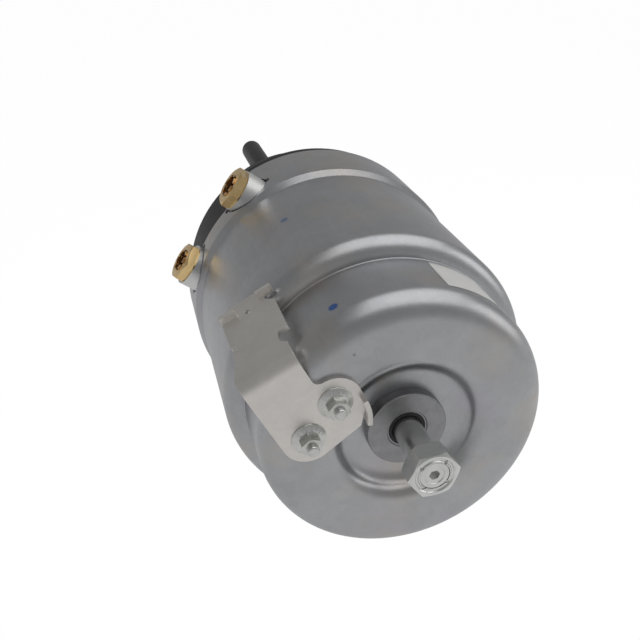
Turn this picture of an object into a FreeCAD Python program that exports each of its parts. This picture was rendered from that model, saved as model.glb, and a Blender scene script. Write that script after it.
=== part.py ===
import FreeCAD, Part
import math
import os

import Sketcher

# A spring brake chamber for an air disc brake, in millimetres.
# Pieces are drawn in chamber coordinates: the chamber axis is Z, the release bolt is at the high
# end, and Y is the direction that ends up pointing up. One placement then lays the axis level,
# with the release bolt towards -Y and the mounting face at the origin.

Vector = FreeCAD.Vector
Rotation = FreeCAD.Rotation
Placement = FreeCAD.Placement

SIZES = {
    # Lengths along the axis
    "face_level": 34.0,
    "stroke": 57.0,
    "can_edge": 101.5,
    "rim_end": 146.0,
    "mid_start": 152.0,
    "crease": 261.3,
    "can_end": 309.4,
    "bush_face": 306.0,
    "skirt_end": 129.0,
    "seat_level": 87.0,
    "port_level": 132.0,
    "hex_under": 334.0,
    "hex_top": 345.6,
    # Spring can
    "can_wall": 2.4,
    "rim_step": 2.8,
    "mid_radius": 89.7,
    "near_corner": 11.7,
    "shoulder_round": 10.7,
    "crown_radius": 42.0,
    "recess_round": 5.0,
    "bush_hole_radius": 13.0,
    "slot_gap": 1.0,
    "slot_notch": 2.2,
    # Black service housing
    "housing_wall": 3.0,
    "housing_corner": 4.0,
    "housing_shoulder": 6.0,
    "rim_clearance": 0.1,
    "face_opening": 31.0,
    "vent_radius": 3.0,
    # Mounting studs
    "stud_circle": 60.35,
    "stud_radius": 8.0,
    "stud_neck_radius": 9.0,
    "stud_reach": 68.5,
    "stud_head_radius": 12.5,
    "stud_head_flat": 7.9,
    "stud_head_clearance": 0.75,
    "stud_head_height": 4.0,
    "stud_angle": 110.5,
    # Die-cast flange
    "hub_bore": 22.0,
    "hub_radius": 32.0,
    "hub_low": 111.0,
    "hub_high": 146.0,
    "web_low": 113.0,
    "web_thickness": 8.0,
    "flange_wall": 11.1,
    "flange_taper": 3.0,
    "flange_gap": 0.2,
    "collar_step": 0.5,
    "nose_clearance": 1.5,
    "boss_radius": 14.0,
    "boss_proud": 1.0,
    "boss_depth": 10.0,
    "port_half_spacing": 30.0,
    "port_angle": 144.5,
    "port_bore": 11.0,
    "port_depth": 22.0,
    "passage_radius": 3.0,
    "passage_wall": 1.5,
    "channel_radius": 2.7,
    # Brass port fittings
    "fitting_across": 24.0,
    "fitting_height": 6.0,
    "fitting_shank": 14.0,
    "fitting_mouth": 7.6,
    "fitting_throat": 5.2,
    "fitting_undercut": 1.2,
    "service_turn": 45.0,
    "parking_turn": 22.0,
    "mouth_depth": 12.0,
    "port_ring_height": 2.0,
    "collet_wall": 1.4,
    "collet_proud": 1.2,
    "collet_gap": 0.1,
    "collet_lift": 1.0,
    "collet_teeth": 8.0,
    "tooth_gap": 1.8,
    "tooth_depth": 2.2,
    # Diaphragm, plate and pushrod
    "bead_height": 6.0,
    "bead_width": 4.8,
    "bead_clearance": 3.2,
    "diaphragm_thickness": 3.0,
    "dish_height": 14.0,
    "dish_margin": 2.0,
    "dish_flat": 1.5,
    "plate_radius": 58.0,
    "plate_thickness": 4.0,
    "rod_radius": 12.5,
    "rod_rivet_radius": 8.5,
    "rod_nose_radius": 11.5,
    "rod_nose_length": 22.0,
    "rod_nose_round": 6.0,
    "rod_reach": 25.0,
    "return_wire": 3.5,
    "return_clearance": 2.1,
    "return_top_radius": 30.0,
    "return_turns": 3.5,
    "spring_gap": 0.3,
    "boot_wall": 2.0,
    "boot_lip": 3.5,
    "boot_gap": 0.2,
    "boot_setback": 0.5,
    "boot_grip_length": 8.0,
    "boot_top": 98.0,
    "clamp_height": 4.0,
    "clamp_wall": 1.2,
    "clamp_inset": 1.5,
    # Parking piston
    "piston_low": 218.5,
    "piston_height": 18.0,
    "piston_web": 7.0,
    "piston_gap": 0.4,
    "piston_rim": 6.5,
    "running_gap": 0.05,
    "tube_wall": 4.95,
    "tube_end": 107.5,
    "plug_thickness": 6.0,
    "plug_chamfer": 1.5,
    "plug_spigot": 2.0,
    "tube_cap": 8.0,
    "collar_radius": 27.0,
    "collar_height": 3.5,
    "cap_hole": 8.8,
    "seal_depth": 3.5,
    "seal_height": 4.0,
    "seal_land": 2.5,
    # Power spring
    "spring_wire": 12.0,
    "spring_inset": 7.3,
    "spring_turns": 5.0,
    # Release bolt
    "bolt_radius": 7.8,
    "bolt_across": 24.0,
    "bolt_head_radius": 13.0,
    "bolt_head_low": 151.0,
    "bolt_head_height": 7.0,
    "thrust_height": 3.0,
    "thrust_gap": 0.2,
    "tip_setback": 0.4,
    "tip_chamfer": 1.0,
    "bush_radius": 21.9,
    "bush_chamfer": 0.6,
    "bush_tube": 12.9,
    "bush_low": 272.0,
    "bolt_seal_radius": 10.2,
    "bolt_seal_depth": 3.0,
    "bolt_seal_setback": 0.4,
    "retainer_radius": 17.0,
    "retainer_height": 2.5,
    "socket_across": 5.0,
    "socket_depth": 4.0,
    "stake_groove_radius": 9.6,
    "stake_groove_depth": 0.8,
    "hex_corner_angle": 8.0,
    # Bracket
    "bracket_sheet": 2.5,
    "bracket_angle": 118.0,
    "bend_inner": 5.5,
    "bend_inset": 6.0,
    "bracket_flare": 9.1,
    "bracket_reach": 52.0,
    "bracket_left": 58.6,
    "bracket_right": 27.3,
    "lobe_radius": 14.2,
    "first_stud_across": 23.4,
    "first_stud_out": 43.7,
    "second_stud_across": 44.6,
    "second_stud_out": 33.0,
    "end_slope": 16.0,
    "inner_drop": 5.3,
    "inner_cut": 9.0,
    "inner_foot": 6.3,
    "left_shoulder_inset": 3.0,
    "left_shoulder_drop": 12.0,
    "left_inset": 4.0,
    "left_notch_depth": 2.5,
    "left_notch_start": 22.0,
    "left_notch_end": 26.0,
    "left_foot_inset": 10.0,
    "left_foot_start": 46.0,
    "left_foot_end": 50.0,
    "right_shoulder_drop": 9.0,
    "right_waist_inset": 3.2,
    "right_waist_start": 12.0,
    "right_waist_end": 19.0,
    "right_tab": 3.5,
    "right_tab_end": 43.0,
    "right_foot_start": 47.0,
    "right_foot_inset": 1.0,
    "side_tail": 4.0,
    "side_hole_radius": 1.6,
    "side_hole_across": 19.0,
    "side_hole_drop": 45.0,
    "lug_width": 9.0,
    "lug_height": 3.0,
    "lug_reach": 4.5,
    "right_lug_overhang": 5.0,
    "right_lug_drop": 1.0,
    "left_lug_inset": 4.5,
    "left_lug_rise": 3.0,
    "hook_rise": 5.0,
    "hook_start": 5.3,
    "hook_tip": 20.3,
    "hook_lean": 4.6,
    # Bracket fasteners
    "small_stud_radius": 3.0,
    "small_stud_reach": 14.1,
    "small_nut_across": 10.0,
    "small_nut_height": 6.0,
    "washer_radius": 9.1,
    "washer_height": 2.2,
    "washer_rim": 0.6,
    "fastener_gap": 0.3,
    "small_stud_chamfer": 0.6,
    "first_nut_turn": 50.0,
    "second_nut_turn": 45.0,
    # Label
    "label_thickness": 0.25,
    "label_low": 264.5,
    "label_high": 294.0,
    "label_start": 50.0,
    "label_sweep": 24.0,
}

GAP = 0.02
HALF = 0.5
HEX_CORNER = 1.0 / math.sqrt(3.0)
SIXTH_TURN = 60.0
QUARTER_TURN = 90.0
HALF_TURN = 180.0
FULL_TURN = 360.0
# Angles round a boss where its slot leaves the circle: at the notches, and below on the outer side
NOTCH_TURN = math.radians(14.0)
TUCK_TURN = math.radians(50.0)
SLOT_COS = math.cos(NOTCH_TURN)
SLOT_SIN = math.sin(NOTCH_TURN)
TUCK_COS = math.cos(TUCK_TURN)
TUCK_SIN = math.sin(TUCK_TURN)
SERVICE_SIDE = 1.0
PARKING_SIDE = -1.0
VENT_TURNS = (60.0, 120.0, 240.0, 300.0)
# How far a cut or a sketch runs past the material, and how much of a soft step each end takes
CUT_MARGIN = 8.0
SMALL_MARGIN = 1.0
STEP_END = 0.25

document = FreeCAD.newDocument("BrakeChamber")
sheet = document.addObject("Spreadsheet::Sheet", "Sizes")
for row, (alias, number) in enumerate(SIZES.items(), start=1):
    sheet.set("A%d" % row, alias)
    sheet.set("B%d" % row, str(number))
    sheet.setAlias("B%d" % row, alias)
document.recompute()

CHAMBER = Placement(Vector(0, SIZES["face_level"], 0), Rotation(Vector(1, 0, 0), QUARTER_TURN))
nodes = []


class Size:
    """A length that knows its number and the cell formula that gives it."""

    def __init__(self, number, formula):
        self.number = float(number)
        self.formula = formula

    def _joined(self, other, sign, number):
        text = other.formula if isinstance(other, Size) else repr(float(other))
        return Size(number, "(%s %s %s)" % (self.formula, sign, text))

    def __add__(self, other):
        return self._joined(other, "+", self.number + plain(other))

    def __sub__(self, other):
        return self._joined(other, "-", self.number - plain(other))

    def __mul__(self, other):
        return self._joined(other, "*", self.number * plain(other))

    def __truediv__(self, other):
        return self._joined(other, "/", self.number / plain(other))

    def __neg__(self):
        return self * -1.0


def plain(value):
    """The number in a size or a plain number."""
    return value.number if isinstance(value, Size) else float(value)


def as_size(value):
    """A size for a size or a plain number."""
    return value if isinstance(value, Size) else Size(value, repr(float(value)))


def size(alias):
    """The sheet's cell of this name as a size."""
    return Size(SIZES[alias], "Sizes.%s" % alias)


def keep(obj, label, local=None):
    """Name a finished piece, lay it in the object's frame and list it as a node."""
    obj.Label = label
    obj.Placement = CHAMBER.multiply(local) if local else CHAMBER
    nodes.append(obj)
    return obj


class Outline:
    """A closed outline in a sketch, whose corners are bound to the sheet."""

    def __init__(self, sketch, x, y):
        self.sketch = sketch
        self.start = (as_size(x), as_size(y))
        self.here = self.start
        self.ends = []

    def line(self, x, y):
        """Draw a straight side to a corner."""
        there = (as_size(x), as_size(y))
        edge = Part.LineSegment(point(self.here), point(there))
        index = self.sketch.addGeometry(edge)
        self.ends.append((index, 1, 2))
        self.here = there
        return self

    def arc(self, x, y, centre_x, centre_y):
        """Draw the shorter arc to a corner round a centre."""
        there = (as_size(x), as_size(y))
        centre = Vector(plain(centre_x), plain(centre_y), 0)
        first = point(self.here) - centre
        last = point(there) - centre
        forward = first.x * last.y - first.y * last.x > 0
        begin, finish = (first, last) if forward else (last, first)
        angle = math.atan2(begin.y, begin.x)
        sweep = begin.getAngle(finish)
        circle = Part.Circle(centre, Vector(0, 0, 1), first.Length)
        index = self.sketch.addGeometry(Part.ArcOfCircle(circle, angle, angle + sweep))
        self.ends.append((index, 1, 2) if forward else (index, 2, 1))
        fixed = "DistanceX" if abs(first.x - last.x) < abs(first.y - last.y) else "DistanceY"
        value = as_size(centre_x if fixed == "DistanceX" else centre_y)
        bind_point(self.sketch, fixed, index, 3, value)
        self.here = there
        return self

    def close(self):
        """Draw the last side and tie the corners together."""
        gap = point(self.here) - point(self.start)
        if gap.Length > 1e-7:
            self.line(*self.start)
        for number, (index, first, last) in enumerate(self.ends):
            following = self.ends[(number + 1) % len(self.ends)]
            tie = Sketcher.Constraint("Coincident", index, last, following[0], following[1])
            self.sketch.addConstraint(tie)
        return self

    def bind(self, corners):
        """Bind the start of each side to its corner's sizes."""
        for (index, first, last), corner in zip(self.ends, corners):
            bind_point(self.sketch, "DistanceX", index, first, corner[0])
            bind_point(self.sketch, "DistanceY", index, first, corner[1])


def point(corner):
    """A corner as a flat vector."""
    return Vector(plain(corner[0]), plain(corner[1]), 0)


def bind_point(sketch, kind, index, end, value):
    """Hold one coordinate of a point at a size of the sheet."""
    rule = Sketcher.Constraint(kind, -1, 1, index, end, value.number)
    number = sketch.addConstraint(rule)
    if "Sizes." in value.formula:
        sketch.setExpression("Constraints[%d]" % number, value.formula)


def draw(sketch, steps):
    """Draw a closed outline from corners; a corner of four numbers ends an arc round its last two."""
    outline = Outline(sketch, steps[0][0], steps[0][1])
    corners = [outline.start]
    for step in steps[1:]:
        if len(step) == 4:
            outline.arc(*step)
        else:
            outline.line(*step)
        corners.append(outline.here)
    outline.close()
    outline.bind(corners)


def draw_circle(sketch, x, y, radius):
    """Draw a circle with its centre and radius bound to the sheet."""
    x = as_size(x)
    y = as_size(y)
    radius = as_size(radius)
    centre = Vector(x.number, y.number, 0)
    index = sketch.addGeometry(Part.Circle(centre, Vector(0, 0, 1), radius.number))
    bind_point(sketch, "DistanceX", index, 3, x)
    bind_point(sketch, "DistanceY", index, 3, y)
    number = sketch.addConstraint(Sketcher.Constraint("Radius", index, radius.number))
    if "Sizes." in radius.formula:
        sketch.setExpression("Constraints[%d]" % number, radius.formula)


def new_body(name):
    """An empty body."""
    return document.addObject("PartDesign::Body", name)


def new_sketch(body, name, role="XZ_Plane", offset=None):
    """A sketch on one of the body's own planes."""
    sketch = body.newObject("Sketcher::SketchObject", name)
    plane = [item for item in body.Origin.OriginFeatures if item.Role == role][0]
    sketch.AttachmentSupport = [(plane, "")]
    sketch.MapMode = "FlatFace"
    if offset:
        sketch.AttachmentOffset = offset
    return sketch


def revolve(body, name, steps):
    """Turn an outline of (radius, level) corners round the axis and add it to the body."""
    sketch = new_sketch(body, name + "_profile")
    draw(sketch, steps)
    feature = body.newObject("PartDesign::Revolution", name)
    feature.Profile = sketch
    feature.ReferenceAxis = (sketch, ["V_Axis"])
    feature.Angle = FULL_TURN
    sketch.Visibility = False
    return feature


def groove(body, name, steps):
    """Turn an outline round the axis and cut it from the body."""
    sketch = new_sketch(body, name + "_profile")
    draw(sketch, steps)
    document.recompute()
    before = body.Shape.Volume
    feature = body.newObject("PartDesign::Groove", name)
    feature.Profile = sketch
    feature.ReferenceAxis = (sketch, ["V_Axis"])
    feature.Angle = FULL_TURN
    document.recompute()
    check_cut(feature, before, body)
    return feature


def ring(name, inner, outer, low, high):
    """A plain ring as a body."""
    body = new_body(name)
    revolve(body, name + "_ring", [(inner, low), (outer, low), (outer, high), (inner, high)])
    return body


def pad(body, sketch, name, length, flip=False):
    """Extrude a sketch and add it to the body."""
    length = as_size(length)
    feature = body.newObject("PartDesign::Pad", name)
    feature.Profile = sketch
    feature.Length = length.number
    if "Sizes." in length.formula:
        feature.setExpression("Length", length.formula)
    feature.Reversed = flip
    return feature


def pocket(body, sketch, name, length, flip=False):
    """Cut an extruded sketch from the body."""
    length = as_size(length)
    document.recompute()
    before = body.Shape.Volume
    feature = body.newObject("PartDesign::Pocket", name)
    feature.Profile = sketch
    feature.Length = length.number
    if "Sizes." in length.formula:
        feature.setExpression("Length", length.formula)
    feature.Reversed = flip
    document.recompute()
    check_cut(feature, before, body)
    return feature


def check_cut(feature, before, body):
    """Stop if a cut took nothing away."""
    if body.Shape.Volume >= before - 1e-6:
        raise RuntimeError("%s cut nothing" % feature.Name)


def hexagon(across):
    """The six corners of a hexagon of this size across its flats."""
    reach = across * HEX_CORNER
    corners = []
    for number in range(6):
        turn = math.radians(SIXTH_TURN * number)
        corners.append((reach * math.cos(turn), reach * math.sin(turn)))
    return corners


def cut_to_hexagon(body, name, across, low, height):
    """Cut a round body to a hexagon between two levels."""
    lift = Placement(Vector(0, 0, plain(low)), Rotation())
    sketch = new_sketch(body, name + "_flats", "XY_Plane", lift)
    sketch.setExpression("AttachmentOffset.Base.z", as_size(low).formula)
    draw_circle(sketch, 0.0, 0.0, across * HEX_CORNER + SMALL_MARGIN)
    draw(sketch, hexagon(across))
    return pocket(body, sketch, name, height, flip=True)


def polar(radius, angle):
    """A point at a radius and an angle round the axis."""
    turn = math.radians(plain(angle))
    return Vector(plain(radius) * math.cos(turn), plain(radius) * math.sin(turn), 0)


def across_axis(distance, angle):
    """The offset of a sketch plane that faces outward at an angle, this far from the axis."""
    turn = math.radians(plain(angle))
    base = Vector(plain(distance) * math.cos(turn), 0, -plain(distance) * math.sin(turn))
    return Placement(base, Rotation(Vector(0, 1, 0), plain(angle) + QUARTER_TURN))


def group(label, members):
    """Several like pieces as one node."""
    compound = document.addObject("Part::Compound", label)
    compound.Links = members
    return keep(compound, label)


def coil(name, mean_radius, wire, turns, low, high, top_radius=None):
    """A coil spring of round wire between two levels."""
    foot = low + wire * HALF
    rise = high - low - wire
    lead = rise / turns
    end = mean_radius if top_radius is None else top_radius
    taper = math.degrees(math.atan2(end - mean_radius, rise))
    path = Part.makeHelix(lead, rise, mean_radius, taper)
    path.translate(Vector(0, 0, foot))
    section = Part.Wire(Part.makeCircle(wire * HALF, Vector(mean_radius, 0, foot), Vector(0, 1, 0)))
    sweep = Part.Wire(path).makePipeShell([section], True, True)
    feature = document.addObject("Part::Feature", name)
    feature.Shape = Part.Solid(sweep) if sweep.ShapeType == "Shell" else sweep
    return feature


# Levels and radii that several pieces share
wall = size("can_wall")
rim_radius = size("mid_radius") + size("rim_step")
near_radius = size("mid_radius") - size("shoulder_round")
can_inner = rim_radius - wall
mid_inner = size("mid_radius") - wall
near_inner = near_radius - wall
skirt_outer = can_inner - size("rim_clearance")
skirt_inner = skirt_outer - size("housing_wall")
flange_outer = skirt_inner - size("flange_gap")
collar_outer = can_inner - size("flange_gap")
collar_low = size("skirt_end") + size("collar_step")
nose_outer = mid_inner - size("flange_gap")
nose_top = size("piston_low") - size("stroke") - size("nose_clearance")
flange_inner = nose_outer - size("flange_wall")
boss_root = flange_inner - size("boss_depth")
boss_end = rim_radius + size("boss_proud")
seal_low = nose_top - size("seal_height") - size("seal_land")
flange_foot = size("seat_level") + size("bead_height")
diaphragm_low = flange_foot - size("diaphragm_thickness")
plate_top = diaphragm_low + size("dish_height")
plate_low = plate_top - size("plate_thickness")
housing_floor = size("face_level") + size("housing_wall")
floor_radius = size("stud_circle") + size("stud_head_flat") + size("stud_head_clearance")
face_radius = floor_radius + size("housing_corner")
return_radius = (size("stud_circle") - size("stud_head_radius") - size("return_wire") * HALF
                 - size("return_clearance"))
bead_outer = skirt_inner - size("bead_clearance")
bead_inner = bead_outer - size("bead_width")
spring_radius = near_radius - size("near_corner") - size("spring_inset")
bend_start = near_radius - size("bend_inset")
recess_floor = size("can_end") - size("recess_round") * 2.0
port_window = size("boss_radius") + size("slot_gap")
tube_outer = size("hub_bore") - size("running_gap")
tube_inner = tube_outer - size("tube_wall")
tube_top = size("piston_low") + size("piston_web") + size("collar_height")
spring_seat = size("piston_low") + size("piston_web")
bracket_face = size("can_end") + size("bracket_sheet")


def can_profile():
    """The can's section, from the open edge up the outside and back down the inside."""
    rim = rim_radius
    mid = size("mid_radius")
    near = near_radius
    end = size("can_end")
    corner = size("near_corner")
    crown = size("crown_radius")
    bend = size("recess_round")
    shoulder = size("crease") - size("shoulder_round")
    step = rim - mid
    rim_end = size("rim_end")
    mid_start = size("mid_start")
    ramp = (mid_start - rim_end) * STEP_END
    hole = size("bush_hole_radius")
    floor_inner = recess_floor - wall
    return [
        (rim, size("can_edge")),
        (rim, rim_end),
        (rim - step * STEP_END, rim_end + ramp),
        (mid + step * STEP_END, mid_start - ramp),
        (mid, mid_start),
        (mid, shoulder),
        (near, size("crease"), near, shoulder),
        (near, end - corner),
        (near - corner, end, near - corner, end - corner),
        (crown, end),
        (crown - bend, end - bend, crown, end - bend),
        (crown - bend * 2.0, recess_floor, crown - bend * 2.0, end - bend),
        (hole, recess_floor),
        (hole, floor_inner),
        (crown - bend * 2.0, floor_inner),
        (crown - bend + wall, end - bend, crown - bend * 2.0, end - bend),
        (crown, end - wall, crown, end - bend),
        (near - corner, end - wall),
        (near_inner, end - corner, near - corner, end - corner),
        (near_inner, size("crease") - wall),
        (near, size("crease") - wall),
        (mid_inner, shoulder, near, shoulder),
        (mid_inner, mid_start),
        (mid_inner + step * STEP_END, mid_start - ramp),
        (can_inner - step * STEP_END, rim_end + ramp),
        (can_inner, rim_end),
        (can_inner, size("can_edge")),
    ]


def slot_outline(sign, low):
    """A slot round one boss, notched at both sides and open towards the other port."""
    middle = size("port_level")
    centre = size("port_half_spacing") * sign
    notch = size("slot_notch")
    radius = port_window
    side = radius * sign
    end = (radius + notch) * sign
    bend = radius * (SLOT_COS * sign)
    tuck = centre + radius * (TUCK_COS * sign)
    return [
        (centre - side, low),
        (tuck, low),
        (tuck, middle - radius * TUCK_SIN),
        (centre + bend, middle - radius * SLOT_SIN, centre, middle),
        (centre + end, middle - notch),
        (centre + end, middle + notch),
        (centre + bend, middle + radius * SLOT_SIN),
        (centre - bend, middle + radius * SLOT_SIN, centre, middle),
        (centre - end, middle + notch),
        (centre - end, middle - notch),
        (centre - side, middle - notch),
    ]


def cut_can_slots(body):
    """Cut a slot for each port boss, open at the can's edge, and the low bridge between them."""
    reach = size("port_half_spacing")
    low = size("can_edge") - CUT_MARGIN
    length = rim_radius + CUT_MARGIN
    for side, sign in (("a", 1.0), ("b", -1.0)):
        sketch = new_sketch(body, "slot_sketch_" + side, "XZ_Plane", across_axis(0, size("port_angle")))
        draw(sketch, slot_outline(sign, low))
        pocket(body, sketch, "slot_" + side, length, flip=True)
    high = size("skirt_end") - size("collar_step")
    sketch = new_sketch(body, "bridge_sketch", "XZ_Plane", across_axis(0, size("port_angle")))
    draw(sketch, [(-reach, low), (reach, low), (reach, high), (-reach, high)])
    pocket(body, sketch, "bridge", length, flip=True)


def make_spring_housing():
    """The galvanised can."""
    body = new_body("spring_housing")
    revolve(body, "can_shell", can_profile())
    cut_can_slots(body)
    keep(body, "spring_housing")


def make_service_housing():
    """The black housing that carries the studs and holds the diaphragm's edge."""
    body = new_body("service_housing")
    thick = size("housing_wall")
    face = size("face_level")
    hole = size("face_opening")
    foot = face_radius
    corner = size("housing_corner")
    shoulder = size("housing_shoulder")
    side = skirt_outer - shoulder
    seat = size("seat_level")
    underside = seat - thick
    revolve(body, "housing_shell", [
        (hole, face),
        (foot - corner, face),
        (foot, face + corner, foot - corner, face + corner),
        (side, underside),
        (skirt_outer, underside + shoulder, side, underside + shoulder),
        (skirt_outer, size("skirt_end")),
        (skirt_inner, size("skirt_end")),
        (skirt_inner, underside + shoulder),
        (side, seat, side, underside + shoulder),
        (side - thick, seat),
        (side - thick, underside),
        (foot - thick, face + corner),
        (foot - corner, face + thick, foot - corner, face + corner),
        (hole, face + thick),
    ])
    lift = Placement(Vector(0, 0, SIZES["face_level"]), Rotation())
    sketch = new_sketch(body, "stud_holes_sketch", "XY_Plane", lift)
    sketch.setExpression("AttachmentOffset.Base.z", "Sizes.face_level")
    for turn in (0.0, HALF_TURN):
        spot = polar(1.0, SIZES["stud_angle"] + turn)
        circle = size("stud_circle")
        draw_circle(sketch, circle * spot.x, circle * spot.y, size("stud_neck_radius") + GAP)
    pocket(body, sketch, "stud_holes", thick, flip=True)
    sketch = new_sketch(body, "vents_sketch", "XY_Plane", lift)
    sketch.setExpression("AttachmentOffset.Base.z", "Sizes.face_level")
    for turn in VENT_TURNS:
        spot = polar(1.0, SIZES["stud_angle"] + turn)
        circle = size("stud_circle")
        draw_circle(sketch, circle * spot.x, circle * spot.y, size("vent_radius"))
    pocket(body, sketch, "vents", thick, flip=True)
    sketch = new_sketch(body, "skirt_slots_sketch", "XZ_Plane", across_axis(0, size("port_angle")))
    for sign in (1.0, -1.0):
        draw_circle(sketch, size("port_half_spacing") * sign, size("port_level"),
                    size("boss_radius") + size("slot_gap") * HALF)
    pocket(body, sketch, "skirt_slots", rim_radius + CUT_MARGIN, flip=True)
    keep(body, "service_housing")


def make_mounting_studs():
    """Two studs pressed through the mounting face, with their heads inside the housing."""
    members = []
    for number, turn in enumerate((0.0, HALF_TURN)):
        angle = SIZES["stud_angle"] + turn
        body = make_stud("mounting_stud_%d" % number)
        body.Placement = Placement(polar(size("stud_circle"), angle), Rotation(Vector(0, 0, 1), angle))
        members.append(body)
    group("mounting_studs", members)


def make_stud(name):
    """A stud with a rounded end, a press neck and a head with a flat beside the housing's wall."""
    body = new_body(name)
    radius = size("stud_radius")
    face = size("face_level")
    end = face - size("stud_reach")
    dome = radius * HALF
    head = size("stud_head_radius")
    head_top = housing_floor + size("stud_head_height")
    revolve(body, name + "_shape", [
        (0.0, end),
        (radius - dome, end),
        (radius, dome + end, radius - dome, dome + end),
        (radius, face),
        (size("stud_neck_radius"), face),
        (size("stud_neck_radius"), housing_floor),
        (head, housing_floor),
        (head, head_top),
        (0.0, head_top),
    ])
    lift = Placement(Vector(0, 0, plain(housing_floor)), Rotation())
    sketch = new_sketch(body, name + "_flat_sketch", "XY_Plane", lift)
    sketch.setExpression("AttachmentOffset.Base.z", housing_floor.formula)
    flat = size("stud_head_flat")
    far = head + GAP
    draw(sketch, [(flat, -far), (far, -far), (far, far), (flat, far)])
    pocket(body, sketch, name + "_flat", size("stud_head_height"), flip=True)
    return body


def make_flange_body():
    """The die-cast ring, web, hub and port bosses."""
    body = new_body("flange_body")
    inner = flange_inner
    nose = nose_top
    web = size("web_low")
    web_top = web + size("web_thickness")
    hub = size("hub_radius")
    bore = size("hub_bore")
    collar_high = size("rim_end") - size("collar_step")
    revolve(body, "flange_ring", [
        (bore, size("hub_low")),
        (hub, size("hub_low")),
        (hub, web),
        (inner, web),
        (inner + size("flange_taper"), flange_foot),
        (flange_outer, flange_foot),
        (flange_outer, collar_low),
        (collar_outer, collar_low),
        (collar_outer, collar_high),
        (nose_outer, collar_high),
        (nose_outer, nose),
        (inner, nose),
        (inner, web_top),
        (hub, web_top),
        (hub, size("hub_high")),
        (bore, size("hub_high")),
    ])
    root = boss_root
    sketch = new_sketch(body, "bosses_sketch", "XZ_Plane", across_axis(root, size("port_angle")))
    for sign in (1.0, -1.0):
        draw_circle(sketch, size("port_half_spacing") * sign, size("port_level"), size("boss_radius"))
    pad(body, sketch, "bosses", boss_end - root)
    passages(body)
    cut_ring_grooves(body, size("hub_bore"), hub_grooves(), 1.0)
    cut_ring_grooves(body, nose_outer, [("flange_seal", seal_low, size("seal_height"))], -1.0)
    keep(body, "flange_body")


def port_offset(sign, out):
    """A point beside the port direction, as sizes across and outward turned into X and Y."""
    turn = math.radians(SIZES["port_angle"])
    side = size("port_half_spacing") * sign
    return (out * math.cos(turn) - side * math.sin(turn), out * math.sin(turn) + side * math.cos(turn))


def passages(body):
    """Drill the ports, the service passage down through the web and the parking passage inwards."""
    drill = boss_root + size("passage_radius") + size("passage_wall")
    spot = port_offset(SERVICE_SIDE, drill)
    lift = Placement(Vector(0, 0, SIZES["port_level"]), Rotation())
    sketch = new_sketch(body, "passage_column_sketch", "XY_Plane", lift)
    sketch.setExpression("AttachmentOffset.Base.z", "Sizes.port_level")
    draw_circle(sketch, spot[0], spot[1], size("passage_radius") * 2.0)
    column = size("port_level") - size("web_low") - size("passage_wall")
    pad(body, sketch, "passage_column", column, flip=True)
    root = boss_end
    sketch = new_sketch(body, "ports_sketch", "XZ_Plane", across_axis(root, size("port_angle")))
    for sign in (1.0, -1.0):
        draw_circle(sketch, size("port_half_spacing") * sign, size("port_level"), size("port_bore"))
    pocket(body, sketch, "ports", size("port_depth"))
    sketch = new_sketch(body, "service_passage_sketch", "XY_Plane", lift)
    sketch.setExpression("AttachmentOffset.Base.z", "Sizes.port_level")
    draw_circle(sketch, spot[0], spot[1], size("passage_radius"))
    pocket(body, sketch, "service_passage", size("port_level") - size("seat_level"))
    sketch = new_sketch(body, "parking_channel_sketch", "XZ_Plane", across_axis(root, size("port_angle")))
    draw_circle(sketch, size("port_half_spacing") * PARKING_SIDE, size("port_level"), size("channel_radius"))
    pocket(body, sketch, "parking_channel", boss_end - boss_root + size("passage_radius"))


def cut_ring_grooves(body, surface, grooves, sign):
    """Cut square grooves into a round face: outward from a bore, or inward from an outside."""
    floor = surface + size("seal_depth") * sign
    edge = surface - SMALL_MARGIN * sign
    for name, low, height in grooves:
        high = low + height
        groove(body, name + "_groove", [(edge, low), (floor, low), (floor, high), (edge, high)])


def hub_grooves():
    """Name, level and height of each groove in the hub."""
    height = size("seal_height")
    low = size("hub_low") + size("seal_land")
    guide = (size("hub_low") + size("hub_high")) * HALF
    return [
        ("hub_seal_low", low, height),
        ("hub_guide", guide - height, height * 2.0),
        ("hub_seal_high", size("hub_high") - height - size("seal_land"), height),
    ]


def make_hub_rings():
    """Two seals and a guide ring that the tube runs in."""
    inner = tube_outer + GAP
    outer = size("hub_bore") + size("seal_depth") - GAP
    seals = []
    for name, low, height in hub_grooves():
        part = ring(name + "_part", inner, outer, low + GAP, low + height - GAP)
        if name == "hub_guide":
            keep(part, "hub_guide_ring")
        else:
            seals.append(part)
    group("hub_seal_rings", seals)


def make_flange_seal():
    """The rubber ring that closes the can onto the flange."""
    floor = nose_outer - size("seal_depth")
    high = seal_low + size("seal_height") - GAP
    keep(ring("flange_seal_part", floor + GAP, mid_inner - GAP, seal_low + GAP, high), "flange_seal_ring")


def port_place(sign, spin):
    """Where a port's own axis starts: on the end of its boss, pointing outward, with its hexagon turned."""
    turn = math.radians(SIZES["port_angle"])
    out = Vector(math.cos(turn), math.sin(turn), 0)
    side = Vector(-math.sin(turn), math.cos(turn), 0)
    base = out * plain(boss_end) + side * (sign * SIZES["port_half_spacing"])
    base.z = SIZES["port_level"]
    along = Vector(0, 0, 1)
    return Placement(base, Rotation(side, along, out, "ZXY").multiply(Rotation(along, spin)))


def make_port_fittings():
    """A brass fitting, its toothed collet and its sealing ring in each port."""
    for name, sign in (("service", SERVICE_SIDE), ("parking", PARKING_SIDE)):
        place = port_place(sign, SIZES[name + "_turn"])
        make_fitting(name + "_port", place)
        make_collet(name + "_port", place)
        make_port_ring(name + "_port", place)


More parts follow.
